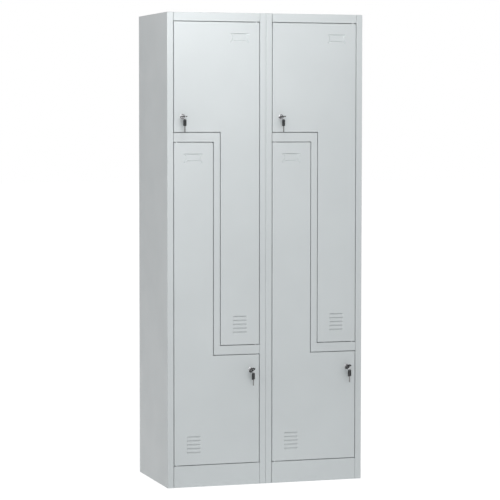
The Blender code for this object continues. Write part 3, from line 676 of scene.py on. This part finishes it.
def door(outline, leg, notch_corner, lock, axis):
    """A Z-shaped door as one thick skin with its bends, louvres, card holder and holes."""
    bottom = min(z for _, z in outline)
    top = max(z for _, z in outline)
    body = bmesh.new()
    # Vertices by place, and the spaces (left, right, low, high) that the flat cells leave free
    known = {}
    spaces = []

    def vertex(x, z, y=0):
        """The one vertex at a place, in the face unless a depth is given."""
        key = (round(x, PLACE_DIGITS), round(y, PLACE_DIGITS), round(z, PLACE_DIGITS))
        if key not in known:
            known[key] = body.verts.new((x, y, z))
        return known[key]

    def grid(points, open_rows=(), reach=0, across=()):
        """Faces over rows of vertices, but none above an open row within reach of the middle."""
        for index, (first, second) in enumerate(zip(points, points[1:])):
            for place in range(len(first) - 1):
                if index in open_rows and abs(across[place] + across[place + 1]) / 2 < reach:
                    continue
                corners = (first[place], first[place + 1], second[place + 1], second[place])
                body.faces.new(list(dict.fromkeys(corners)))

    def patch(centre, base, columns, rows, depth_at):
        """A grid of vertices set into the face, whose border lies in it and takes a space."""
        points = []
        for row, height in enumerate(rows):
            line = []
            for column, across in enumerate(columns):
                border = row in (0, len(rows) - 1) or column in (0, len(columns) - 1)
                x, z = centre + across, base + height
                if border:
                    line.append(vertex(x, z))
                else:
                    line.append(body.verts.new((x, depth_at(across, row), z)))
            points.append(line)
        sides = (centre + columns[0], centre + columns[-1])
        spaces.append((*sides, base + rows[0], base + rows[-1]))
        return points

    # Lip, rim and the bend to the face, all round
    path = [(DOOR_LIP, DOOR_DEPTH), (0, DOOR_DEPTH), (0, 0), (DOOR_LIP, 0)]
    skin = [(-x, y) for x, y in sheet_skins([(-x, y) for x, y in path])[0]][:-1]
    rings = []
    for distance, depth in skin:
        ring = outline_ring(outline, distance)
        rings.append([vertex(point.x, point.y, depth) for point in ring])
    for first, second in zip(rings, rings[1:]):
        bridge(body, first, second)

    # Louvres
    middle = (leg[0] + leg[1]) / 2
    columns, rows = louvre_grid()
    heights, depths, opens = zip(*rows)
    slit = bottom + LOUVRE_RISE
    points = patch(middle, slit, columns, heights, lambda x, row: louvre_depth(x, depths[row]))
    open_rows = [row for row, is_open in enumerate(opens) if is_open]
    grid(points, open_rows, LOUVRE_WIDTH / 2, columns)

    # Card holder
    level = top - CARD_DROP - CARD_HEIGHT / 2
    columns = card_lines(CARD_WIDTH / 2, CARD_EAR_BESIDE, CARD_EAR_INNER_X)
    ups = card_lines(CARD_HEIGHT / 2, CARD_EAR_BELOW, CARD_EAR_INNER_Z)
    grid(patch(middle - CARD_SHIFT, level, columns, ups, lambda x, row: card_depth(x, ups[row])))

    # Lock hole, in a square of the face
    half = LOCK_FLANGE_RADIUS
    radius = LOCK_BODY_RADIUS + SEAT_GAP
    hole = []
    square = []
    for index in range(HOLE_SIDES):
        angle = math.tau * index / HOLE_SIDES
        x, z = math.cos(angle), math.sin(angle)
        hole.append(vertex(lock[0] + x * radius, lock[1] + z * radius))
        reach = half / max(abs(x), abs(z))
        square.append(vertex(lock[0] + x * reach, lock[1] + z * reach))
    bridge(body, square, hole)
    spaces.append((lock[0] - half, lock[0] + half, lock[1] - half, lock[1] + half))

    # Rounded corner of the notch, filled out to a square one
    per_corner = CORNER_STEPS + 1
    notch = outline_ring(outline, BEND_RADIUS)
    notch = notch[notch_corner * per_corner:(notch_corner + 1) * per_corner]
    knee = Vector((notch[-1].x, notch[0].y))
    body.faces.new([vertex(point.x, point.y) for point in (*notch, knee)])

    # Flat cells of the face, each a polygon through every vertex on its border
    levels = [bottom + BEND_RADIUS, top - BEND_RADIUS, knee.y]
    for space in spaces:
        levels += space[2:]
    levels = sorted({round(height, PLACE_DIGITS) for height in levels})
    wide_above = lock[1] > knee.y

    def span_at(height):
        """Left and right end of the flat face at a height."""
        left, right = (DOOR_LEFT, DOOR_RIGHT) if (height > knee.y) == wide_above else leg
        return left + BEND_RADIUS, right - BEND_RADIUS

    cells = flat_cells(levels, spaces, span_at)
    for left, right, low, high in cells:
        for x in (left, right):
            for z in (low, high):
                vertex(x, z)
    for cell in cells:
        body.faces.new(cell_loop(known, *cell))

    bmesh.ops.remove_doubles(body, verts=body.verts, dist=MERGE_DISTANCE / 3)
    bmesh.ops.recalc_face_normals(body, faces=body.faces)
    flat = max(body.faces, key=lambda face: face.calc_area())
    if flat.normal.y > 0:
        bmesh.ops.reverse_faces(body, faces=body.faces)
    holes = [pin_hole(axis, top, -SHEET), pin_hole(axis, bottom, SHEET)]
    return combined(thickened(body), gathered(holes), "DIFFERENCE")


def upper_door():
    """The upper door, whose narrow leg hangs down on the right."""
    leg = (MULLION_RIGHT + DOOR_GAP, DOOR_RIGHT)
    outline = [
        (leg[0], UPPER_LEG_BOTTOM),
        (DOOR_RIGHT, UPPER_LEG_BOTTOM),
        (DOOR_RIGHT, UPPER_TOP),
        (DOOR_LEFT, UPPER_TOP),
        (DOOR_LEFT, UPPER_NOTCH),
        (leg[0], UPPER_NOTCH),
    ]
    return door(outline, leg, notch_corner=5, lock=UPPER_LOCK, axis=UPPER_AXIS)


def lower_door():
    """The lower door, whose narrow leg stands up on the left."""
    leg = (DOOR_LEFT, MULLION_LEFT - DOOR_GAP)
    outline = [
        (DOOR_LEFT, LOWER_BOTTOM),
        (DOOR_RIGHT, LOWER_BOTTOM),
        (DOOR_RIGHT, LOWER_STEP),
        (leg[1], LOWER_STEP),
        (leg[1], LOWER_LEG_TOP),
        (DOOR_LEFT, LOWER_LEG_TOP),
    ]
    return door(outline, leg, notch_corner=3, lock=LOWER_LOCK, axis=LOWER_AXIS)


# Locks and keys

def lock_housing():
    """The lock's chromed sleeve: a grooved and bevelled flange, and a threaded barrel."""
    bore = PLUG_RADIUS + SEAT_GAP
    line = [(bore, LOCK_BODY_LENGTH, 0), (bore, LOCK_FACE, MOUTH_EDGE)]
    for inward, depth, radius in FLANGE_LINE:
        line.append((LOCK_FLANGE_RADIUS - inward, LOCK_FACE + depth, radius))
    line.append((LOCK_FLANGE_RADIUS, -SEAT_GAP, SEAT_EDGE))
    line.append((LOCK_BODY_RADIUS, -SEAT_GAP, 0))
    place = SHEET
    while place + THREAD_PITCH < LOCK_BODY_LENGTH - SHEET:
        line.append((LOCK_BODY_RADIUS, place, 0))
        line.append((LOCK_BODY_RADIUS - THREAD_DEPTH, place + THREAD_PITCH / 2, 0))
        place += THREAD_PITCH
    line.append((LOCK_BODY_RADIUS, place, 0))
    line.append((LOCK_BODY_RADIUS, LOCK_BODY_LENGTH, BARREL_EDGE))
    return turned(rounded(line, LOCK_EDGE_STEPS), "Y", hollow=True)


def lock_plug():
    """The turning core, with its keyway, the square that carries the cam, and the screw head."""
    barrel = turned(rounded([
        (POLE_RADIUS, PLUG_FACE, 0),
        (PLUG_RADIUS, PLUG_FACE, PLUG_EDGE),
        (PLUG_RADIUS, CAM_FRONT - SEAT_GAP, 0),
        (POLE_RADIUS, CAM_FRONT - SEAT_GAP, 0),
    ], LOCK_EDGE_STEPS, closed=False), "Y")
    half = TENON / 2
    tenon_end = CAM_BACK + SEAT_GAP
    tenon_span = (CAM_FRONT - SEAT_GAP - WELD_OVERLAP, tenon_end + WELD_OVERLAP)
    tenon = block((-half, half), tenon_span, (-half, half))
    top = tenon_end + SCREW_HEAD_DEPTH
    head = turned(rounded([
        (SCREW_HEAD_RADIUS, tenon_end, 0),
        (SCREW_HEAD_RADIUS, top, SCREW_HEAD_EDGE),
        (SCREW_POLE_RADIUS, top, 0),
    ], SCREW_EDGE_STEPS, closed=False), "Y")
    body = combined(combined(barrel, tenon, "UNION"), head, "UNION")
    wide = BLADE_WIDTH / 2 + SEAT_GAP
    thick = BLADE_THICKNESS / 2 + SEAT_GAP
    end = BOW_END + BLADE_LENGTH + SEAT_GAP
    keyway = block((-wide, wide), (PLUG_FACE - CUT_OVERRUN, end), (-thick, thick))
    long, short = (-half, half), (-SCREW_SLOT_WIDTH / 2, SCREW_SLOT_WIDTH / 2)
    cut = (top - SCREW_SLOT_DEPTH, top + CUT_OVERRUN)
    slots = combined(block(long, cut, short), block(short, cut, long), "UNION")
    return combined(body, gathered([keyway, slots]), "DIFFERENCE")


def drawn_in(outline, distance):
    """A dense outline moved inwards by a distance, point by point."""
    moved = []
    count = len(outline)
    for index in range(count):
        here = Vector(outline[index])
        way = (Vector(outline[(index + 1) % count]) - Vector(outline[index - 1])).normalized()
        moved.append(here + Vector((-way.y, way.x)) * distance)
    return moved


def pillow(outline, half, edge):
    """A flat body with a rounded edge all round. The outline runs anticlockwise."""
    rings = []
    for way in (-1, 1):
        for step in range(PILLOW_STEPS + 1)[::-way]:
            angle = math.pi / 2 * step / PILLOW_STEPS
            distance = edge * (1 - math.sin(angle))
            height = way * (half - edge + edge * math.cos(angle))
            rings.append([along("Z", u, v, height) for u, v in drawn_in(outline, distance)])
    return rings_body(rings)


def key_head():
    """The key's moulded head, with a sunk field on both sides and a chamfered hole."""
    half = BOW_WIDTH / 2
    outline = rounded([
        (-half, 0, BOW_SHOULDER_CORNER),
        (-half, -BOW_LENGTH, BOW_CORNER),
        (half, -BOW_LENGTH, BOW_CORNER),
        (half, 0, BOW_SHOULDER_CORNER),
    ], BOW_CORNER_STEPS)
    thick = BOW_THICKNESS / 2
    body = pillow(outline, thick, BOW_EDGE)
    hole_place = KEY_HOLE_EDGE - BOW_LENGTH
    field_half = half - BOW_BORDER
    field_end = hole_place + KEY_HOLE_RADIUS + FIELD_HOLE_BORDER
    field = rounded([
        (-field_half, -BOW_BORDER, FIELD_CORNER),
        (-field_half, field_end, FIELD_HOLE_CORNER),
        (field_half, field_end, FIELD_HOLE_CORNER),
        (field_half, -BOW_BORDER, FIELD_CORNER),
    ], FIELD_CORNER_STEPS)
    cuts = []
    for side in (-1, 1):
        cut = pillow(field, FIELD_DEPTH, FIELD_EDGE)
        bmesh.ops.translate(cut, verts=cut.verts, vec=(0, 0, side * thick))
        cuts.append(cut)
    cuts.append(turned([
        (KEY_HOLE_RADIUS + 2 * HOLE_CHAMFER, -thick - HOLE_CHAMFER),
        (KEY_HOLE_RADIUS, HOLE_CHAMFER - thick),
        (KEY_HOLE_RADIUS, thick - HOLE_CHAMFER),
        (KEY_HOLE_RADIUS + 2 * HOLE_CHAMFER, thick + HOLE_CHAMFER),
    ], "Z", (0, hole_place), sides=HOLE_SIDES))
    return combined(body, gathered(cuts), "DIFFERENCE")


def key_blade():
    """The key's steel blade, with its bit cuts and a milled groove on each side."""
    edge = BLADE_WIDTH / 2
    bit_end = BLADE_LENGTH * BIT_END_SHARE
    pitch = BLADE_LENGTH * BIT_SPAN_SHARE / BIT_COUNT
    outline = [(-edge, -WELD_OVERLAP, 0), (edge, -WELD_OVERLAP, 0)]
    for index in range(BIT_COUNT):
        start = bit_end + pitch * index
        outline.append((edge, start, BIT_CREST_EDGE))
        outline.append((edge - BIT_DEPTH, start + pitch / 2, BIT_VALLEY_EDGE))
    outline.append((edge, bit_end + pitch * BIT_COUNT, BIT_CREST_EDGE))
    outline.append((edge, BLADE_LENGTH - BLADE_TIP, BIT_VALLEY_EDGE))
    outline.append((edge - BLADE_TIP, BLADE_LENGTH, BLADE_TIP_EDGE))
    outline.append((BLADE_TIP - edge, BLADE_LENGTH, BLADE_TIP_EDGE))
    outline.append((-edge, BLADE_LENGTH - BLADE_TIP, BLADE_TIP_EDGE))
    thick = BLADE_THICKNESS / 2
    body = prism(rounded(outline, BLADE_CORNER_STEPS), "Z", -thick, thick)
    length = (-2 * WELD_OVERLAP, BLADE_LENGTH + WELD_OVERLAP)
    grooves = []
    for side in (-1, 1):
        level = sorted((side * (thick - BLADE_GROOVE_DEPTH), side * BLADE_THICKNESS))
        across = sorted(side * edge * share for share in BLADE_GROOVE_SPAN)
        grooves.append(block(across, length, level))
    return combined(body, gathered(grooves), "DIFFERENCE")


def key_ring():
    """A split ring standing in the YZ plane: one wire that goes round twice."""
    rings = []
    for index in range(RING_STEPS + 1):
        share = index / RING_STEPS
        angle = 2 * math.tau * share + RING_START_ANGLE
        over = smooth_step((share - 0.5) / RING_STEP_OVER_SHARE + 0.5)
        outward = Vector((0, math.cos(angle), math.sin(angle)))
        centre = outward * RING_RADIUS + Vector((RING_COIL_SHIFT * (2 * over - 1), 0, 0))
        ring = []
        for side in range(RING_SIDES):
            turn = math.tau * side / RING_SIDES
            spoke = outward * math.cos(turn) + Vector((math.sin(turn), 0, 0))
            ring.append(centre + spoke * RING_COIL_WIRE)
        rings.append(ring)
    return rings_body(rings)


def ring_drop(key_turn):
    """How far the ring's centre hangs below the hole of a key that is turned by an angle."""
    tilt = abs(math.radians(key_turn))
    height = BOW_THICKNESS / 2 / math.cos(tilt) + RING_WIRE_RADIUS * math.tan(tilt)
    return RING_RADIUS - RING_WIRE_RADIUS - height - RING_PLAY


def spare_drop(spare_turn):
    """How far the hole of a hanging key lies below the ring's lowest wire."""
    angle = math.radians(spare_turn)
    across = BOW_THICKNESS / 2 * math.tan(angle)
    along_wire = BOW_THICKNESS / 2 / math.cos(angle)
    hole = KEY_HOLE_RADIUS * math.cos(math.pi / KEY_HOLE_SIDES)
    room = hole - SEAT_GAP - RING_WIRE_RADIUS / math.cos(angle)
    sag = RING_RADIUS - math.sqrt(RING_RADIUS ** 2 - along_wire ** 2)
    return math.sqrt(room ** 2 - across ** 2) - sag


# Materials

NOISE_MIDDLE = (0.35, 0.65)
ROUND_GRAIN = (1, 1, 1)
FLAT_GRAIN = (1, 1, 0.6)
LONG_GRAIN = (1, 1, 0.15)


def shader_of(name, **values):
    """A new material with its main shader's plain values set on the shader's own sockets."""
    made = bpy.data.materials.new(name)
    made.use_nodes = True
    shader = made.node_tree.nodes["Principled BSDF"]
    for socket, value in values.items():
        shader.inputs[socket.replace("_", " ")].default_value = value
    return made, shader


def noise(tree, scale, detail=2.0, stretch=ROUND_GRAIN):
    """A noise over the object's own places, stretched along its axes."""
    place = tree.nodes.new("ShaderNodeTexCoord")
    mapping = tree.nodes.new("ShaderNodeMapping")
    mapping.inputs["Scale"].default_value = stretch
    tree.links.new(place.outputs["Object"], mapping.inputs["Vector"])
    made = tree.nodes.new("ShaderNodeTexNoise")
    made.inputs["Scale"].default_value = scale
    made.inputs["Detail"].default_value = detail
    tree.links.new(mapping.outputs["Vector"], made.inputs["Vector"])
    return made.outputs["Fac"]


def ramp(tree, source, low, high):
    """A value or colour that runs from low to high over the middle of a noise."""
    made = tree.nodes.new("ShaderNodeValToRGB")
    for element, place, value in zip(made.color_ramp.elements, NOISE_MIDDLE, (low, high)):
        element.position = place
        element.color = (*value, 1) if isinstance(value, tuple) else (value, value, value, 1)
    tree.links.new(source, made.inputs["Fac"])
    return made.outputs["Color"]


def bump(tree, source, strength, distance, before=None):
    """A bump from a height, on top of another bump."""
    made = tree.nodes.new("ShaderNodeBump")
    made.inputs["Strength"].default_value = strength
    made.inputs["Distance"].default_value = distance
    tree.links.new(source, made.inputs["Height"])
    if before is not None:
        tree.links.new(before, made.inputs["Normal"])
    return made.outputs["Normal"]


def linear(red, green, blue):
    """An sRGB colour, given from 0 to 255, as the shader needs it."""
    values = []
    for level in (red, green, blue):
        level /= 255
        values.append(level / 12.92 if level <= 0.04045 else ((level + 0.055) / 1.055) ** 2.4)
    return tuple(values)


def paint(name, low, high):
    """Powder-coated sheet steel: satin paint with fine orange peel on a slightly uneven sheet."""
    made, shader = shader_of(name, Coat_Weight=0.25, Coat_Roughness=0.1, Coat_IOR=1.5)
    tree = made.node_tree
    mottle = noise(tree, scale=3.2, detail=3.0)
    satin = noise(tree, scale=11, detail=4.0)
    waves = noise(tree, scale=4.5, detail=1.0, stretch=FLAT_GRAIN)
    peel = noise(tree, scale=420, detail=1.5)
    tree.links.new(ramp(tree, mottle, low, high), shader.inputs["Base Color"])
    tree.links.new(ramp(tree, satin, 0.36, 0.44), shader.inputs["Roughness"])
    sheet = bump(tree, waves, strength=0.35, distance=0.0012)
    grain = bump(tree, peel, strength=0.05, distance=0.0002, before=sheet)
    tree.links.new(grain, shader.inputs["Normal"])
    return made


def plated(name, low, high, rough, grain, stretch=ROUND_GRAIN):
    """Plated metal with a slightly cloudy surface and fine working marks."""
    made, shader = shader_of(name, Metallic=1.0)
    tree = made.node_tree
    clouds = noise(tree, scale=160, detail=4.0)
    marks = noise(tree, scale=900, detail=3.0, stretch=stretch)
    tree.links.new(ramp(tree, clouds, low, high), shader.inputs["Base Color"])
    tree.links.new(ramp(tree, marks, *rough), shader.inputs["Roughness"])
    tree.links.new(bump(tree, marks, grain, distance=0.0001), shader.inputs["Normal"])
    return made


def plastic(name, low, high):
    """Black moulded plastic with a fine spark-eroded grain, a little polished by use."""
    made, shader = shader_of(name, Specular_IOR_Level=0.3)
    tree = made.node_tree
    mottle = noise(tree, scale=240, detail=3.0)
    wear = noise(tree, scale=120, detail=2.0)
    tree.links.new(ramp(tree, mottle, low, high), shader.inputs["Base Color"])
    tree.links.new(ramp(tree, wear, 0.36, 0.52), shader.inputs["Roughness"])
    grain = bump(tree, noise(tree, scale=3500), strength=0.25, distance=0.00008)
    tree.links.new(grain, shader.inputs["Normal"])
    return made


LOOKS = {
    "cabinet_paint": paint(
        "cabinet_powder_coat", linear(210, 215, 216), linear(214, 219, 220)),
    "door_paint": paint(
        "door_powder_coat", linear(211, 216, 217), linear(215, 220, 221)),
    "lock_chrome": plated(
        "polished_chrome", linear(182, 183, 185), linear(192, 193, 195),
        rough=(0.08, 0.13), grain=0.02),
    "plated_steel": plated(
        "bright_zinc", linear(186, 188, 190), linear(206, 207, 208),
        rough=(0.26, 0.40), grain=0.1),
    "black_plastic": plastic(
        "black_moulded_plastic", linear(15, 15, 16), linear(23, 23, 25)),
}
KEY_STEEL = plated(
    "nickelled_key_steel", linear(120, 120, 119), linear(138, 138, 137),
    rough=(0.24, 0.36), grain=0.12, stretch=LONG_GRAIN)


# Putting pieces in place

def show(name, body, slot, rides_on, nodes, move, look=None, bevel=0.0):
    """A finished piece, moved into place, on its body and standing for its CAD nodes."""
    bmesh.ops.transform(body, matrix=move, verts=body.verts)
    bmesh.ops.dissolve_degenerate(body, dist=MERGE_DISTANCE / 3, edges=body.edges)
    mesh = bpy.data.meshes.new(name)
    body.to_mesh(mesh)
    body.free()
    mesh.shade_smooth()
    mesh.set_sharp_from_angle(angle=math.radians(SMOOTH_ANGLE))
    mesh.materials.append(look or LOOKS[slot])
    made = bpy.data.objects.new(name, mesh)
    bpy.context.scene.collection.objects.link(made)
    finish_edges(made, bevel)
    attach(made, rides_on)
    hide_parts(*nodes)


def finish_edges(made, bevel):
    """Softened edges where asked for, and shading that keeps flat faces flat."""
    if bevel:
        modifier = made.modifiers.new("Edges", "BEVEL")
        modifier.width = bevel
        modifier.segments = BEVEL_STEPS
        modifier.limit_method = "ANGLE"
        modifier.angle_limit = math.radians(SMOOTH_ANGLE)
    weighted = made.modifiers.new("Shading", "WEIGHTED_NORMAL")
    weighted.keep_sharp = True


DOORS = {"upper": (upper_door, UPPER_LOCK), "lower": (lower_door, LOWER_LOCK)}

for side in ("left", "right"):
    column = Matrix.Translation((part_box(side + "_left_side_panel")[0].x, FRONT_Y, 0))
    wall = (COLUMN_WIDTH - SHEET) / 2 - SEAT_GAP
    upper_rail = hanging_rail(INSIDE_LEFT, INSIDE_RIGHT, HEIGHT - SHEET - RAIL_DROP)
    lower_rail = hanging_rail(INSIDE_LEFT, wall, HIGH_SHELF - SHEET - RAIL_DROP)
    for name, body, slot in (
        ("left_side_panel", side_panel(False), "cabinet_paint"),
        ("right_side_panel", side_panel(True), "cabinet_paint"),
        ("top_panel", top_panel(), "cabinet_paint"),
        ("plinth", plinth(), "cabinet_paint"),
        ("front_frame", front_frame(), "cabinet_paint"),
        ("upper_hanging_rail", upper_rail, "plated_steel"),
        ("lower_hanging_rail", lower_rail, "plated_steel"),
    ):
        node = side + "_" + name
        show(node + "_finished", body, slot, "cabinet", [node], column)
    for level, (make_door, lock) in DOORS.items():
        name = side + "_" + level
        leaf, latch, spare = (name + end for end in ("_leaf", "_latch", "_spare"))
        key_turn, spare_turn = KEY_TURNS[name]
        at_lock = column @ Matrix.Translation((lock[0], 0, lock[1]))
        turned_lock = at_lock @ Matrix.Rotation(math.radians(key_turn), 4, "Y")
        in_lock = turned_lock @ Matrix.Translation((0, BOW_END, 0))
        drop = (0, KEY_HOLE_Y - RING_SHIFT, -ring_drop(key_turn))
        swing = at_lock @ Matrix.Translation(drop)
        below = (0, 0, -RING_RADIUS - spare_drop(spare_turn))
        hanging = swing @ Matrix.Translation(below)
        hanging = hanging @ Matrix.Rotation(math.radians(spare_turn), 4, "Z")
        hanging = hanging @ Matrix.Rotation(-math.pi / 2, 4, "X")
        hanging = hanging @ Matrix.Translation((0, BOW_LENGTH - KEY_HOLE_EDGE, 0))
        for end, body, slot, rides_on, move in (
            ("_door", make_door(), "door_paint", leaf, column),
            ("_lock_housing", lock_housing(), "lock_chrome", leaf, at_lock),
            ("_lock_plug", lock_plug(), "lock_chrome", latch, turned_lock),
            ("_key_ring", key_ring(), "plated_steel", spare, swing),
        ):
            node = name + end
            show(node + "_finished", body, slot, rides_on, [node], move)
        for end, rides_on, move in (("_key", latch, in_lock), ("_spare_key", spare, hanging)):
            node = name + end
            show(node + "_head", key_head(), "black_plastic", rides_on, [node], move)
            show(node + "_blade", key_blade(), "plated_steel", rides_on, [node], move,
                 KEY_STEEL, BLADE_BEVEL)

# CAD nodes that stay, by the look they get: the ends of their names, and their bevel
KEPT = {
    "cabinet_paint": (("_base_panel", "_back_panel", "_partition"), 0.00025),
    "plated_steel": (("_top_pin", "_bottom_pin", "_lock_nut", "_lock_cam"), 0.0002),
}
for node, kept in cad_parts.items():
    for slot, (ends, bevel) in KEPT.items():
        if node.endswith(ends):
            kept.data.materials.clear()
            kept.data.materials.append(LOOKS[slot])
            finish_edges(kept, bevel)


# Camera at the photograph's place

CAMERA_PLACE = (-2.644158, FRONT_Y - 8.085199, 1.431824)
CAMERA_YAW, CAMERA_PITCH, CAMERA_ROLL = 0.308736, 0.059581, -0.000775
FOCAL_PIXELS = 2168.999
FRAME_PIXELS = 500
SENSOR = 36
CAMERA_REACH = 200

camera_data = bpy.data.cameras.new("photo_camera")
camera_data.sensor_width = SENSOR
camera_data.lens = FOCAL_PIXELS * SENSOR / FRAME_PIXELS
camera_data.clip_end = CAMERA_REACH
camera = bpy.data.objects.new("photo_camera", camera_data)
sin_yaw, cos_yaw = math.sin(CAMERA_YAW), math.cos(CAMERA_YAW)
sin_pitch, cos_pitch = math.sin(CAMERA_PITCH), math.cos(CAMERA_PITCH)
forward = Vector((sin_yaw * cos_pitch, cos_yaw * cos_pitch, -sin_pitch))
right = Vector((cos_yaw, -sin_yaw, 0))
down = forward.cross(right)
rolled_right = right * math.cos(CAMERA_ROLL) + down * math.sin(CAMERA_ROLL)
rolled_down = down * math.cos(CAMERA_ROLL) - right * math.sin(CAMERA_ROLL)
facing = Matrix((rolled_right, -rolled_down, -forward)).transposed().to_4x4()
camera.matrix_world = Matrix.Translation(CAMERA_PLACE) @ facing
bpy.context.scene.collection.objects.link(camera)
bpy.context.scene.camera = camera


# Studio

FILL_COLOUR = (0.96, 0.985, 1.0, 1)
FILL_STRENGTH = 0.343
WHITE = (1, 1, 1, 1)
FLOOR_REACH = 40
FLOOR_CELLS = 4
FLOOR_GLOW = 1.25
FLOOR_GLOW_SHARE = 0.75


def background_share(tree):
    """One for rays from the camera, a mirror or glass, and nought for rays that light things."""
    path = tree.nodes.new("ShaderNodeLightPath")
    total = path.outputs["Is Camera Ray"]
    for output in ("Is Glossy Ray", "Is Transmission Ray"):
        adding = tree.nodes.new("ShaderNodeMath")
        adding.operation = "MAXIMUM"
        tree.links.new(total, adding.inputs[0])
        tree.links.new(path.outputs[output], adding.inputs[1])
        total = adding.outputs[0]
    return total


def show_mixed(tree, share, first, second, output):
    """The first shader turned into the second by a share, led to the tree's output."""
    mixing = tree.nodes.new("ShaderNodeMixShader")
    for source, socket in zip((share, first.outputs[0], second.outputs[0]), mixing.inputs):
        tree.links.new(source, socket)
    tree.links.new(mixing.outputs[0], tree.nodes[output].inputs["Surface"])


def lamp(name, place, target, width, power):
    """A soft square lamp that faces a target."""
    data = bpy.data.lights.new(name, "AREA")
    data.shape = "SQUARE"
    data.size = width
    data.energy = power
    made = bpy.data.objects.new(name, data)
    made.location = place
    way = Vector(target) - Vector(place)
    made.rotation_euler = way.to_track_quat("-Z", "Y").to_euler()
    bpy.context.scene.collection.objects.link(made)


world = bpy.data.worlds.new("studio")
world.use_nodes = True
bpy.context.scene.world = world
tree = world.node_tree
fill = tree.nodes["Background"]
fill.inputs["Color"].default_value = FILL_COLOUR
fill.inputs["Strength"].default_value = FILL_STRENGTH
white = tree.nodes.new("ShaderNodeBackground")
white.inputs["Color"].default_value = WHITE
white.inputs["Strength"].default_value = 1.0
show_mixed(tree, background_share(tree), fill, white, "World Output")

lamp("front_lamp", place=(-0.9, -6.0, 1.7), target=(0, 0, 0.8), width=3.4, power=100)
lamp("left_lamp", place=(-4.5, -3.2, 3.0), target=(0, -0.2, 1.0), width=1.5, power=19)
lamp("near_lamp", place=(-0.5, -1.1, 2.36), target=(-0.36, -0.2, 1.75), width=0.7, power=7.2)

floor_body = bmesh.new()
bmesh.ops.create_grid(
    floor_body, x_segments=FLOOR_CELLS, y_segments=FLOOR_CELLS, size=FLOOR_REACH)
floor_mesh = bpy.data.meshes.new("floor")
floor_body.to_mesh(floor_mesh)
floor_body.free()
floor = bpy.data.objects.new("floor", floor_mesh)
floor.location.z = -SEAT_GAP
bpy.context.scene.collection.objects.link(floor)
floor_look, shader = shader_of("pale_floor", Roughness=0.8, Specular_IOR_Level=0.1)
tree = floor_look.node_tree
tree.links.new(ramp(tree, noise(tree, scale=2.0), 0.92, 0.94), shader.inputs["Base Color"])
glow = tree.nodes.new("ShaderNodeEmission")
glow.inputs["Strength"].default_value = FLOOR_GLOW
share = tree.nodes.new("ShaderNodeMath")
share.operation = "MULTIPLY"
share.inputs[1].default_value = FLOOR_GLOW_SHARE
tree.links.new(background_share(tree), share.inputs[0])
show_mixed(tree, share.outputs[0], shader, glow, "Material Output")
floor_mesh.materials.append(floor_look)

bpy.context.scene.view_settings.view_transform = "Standard"
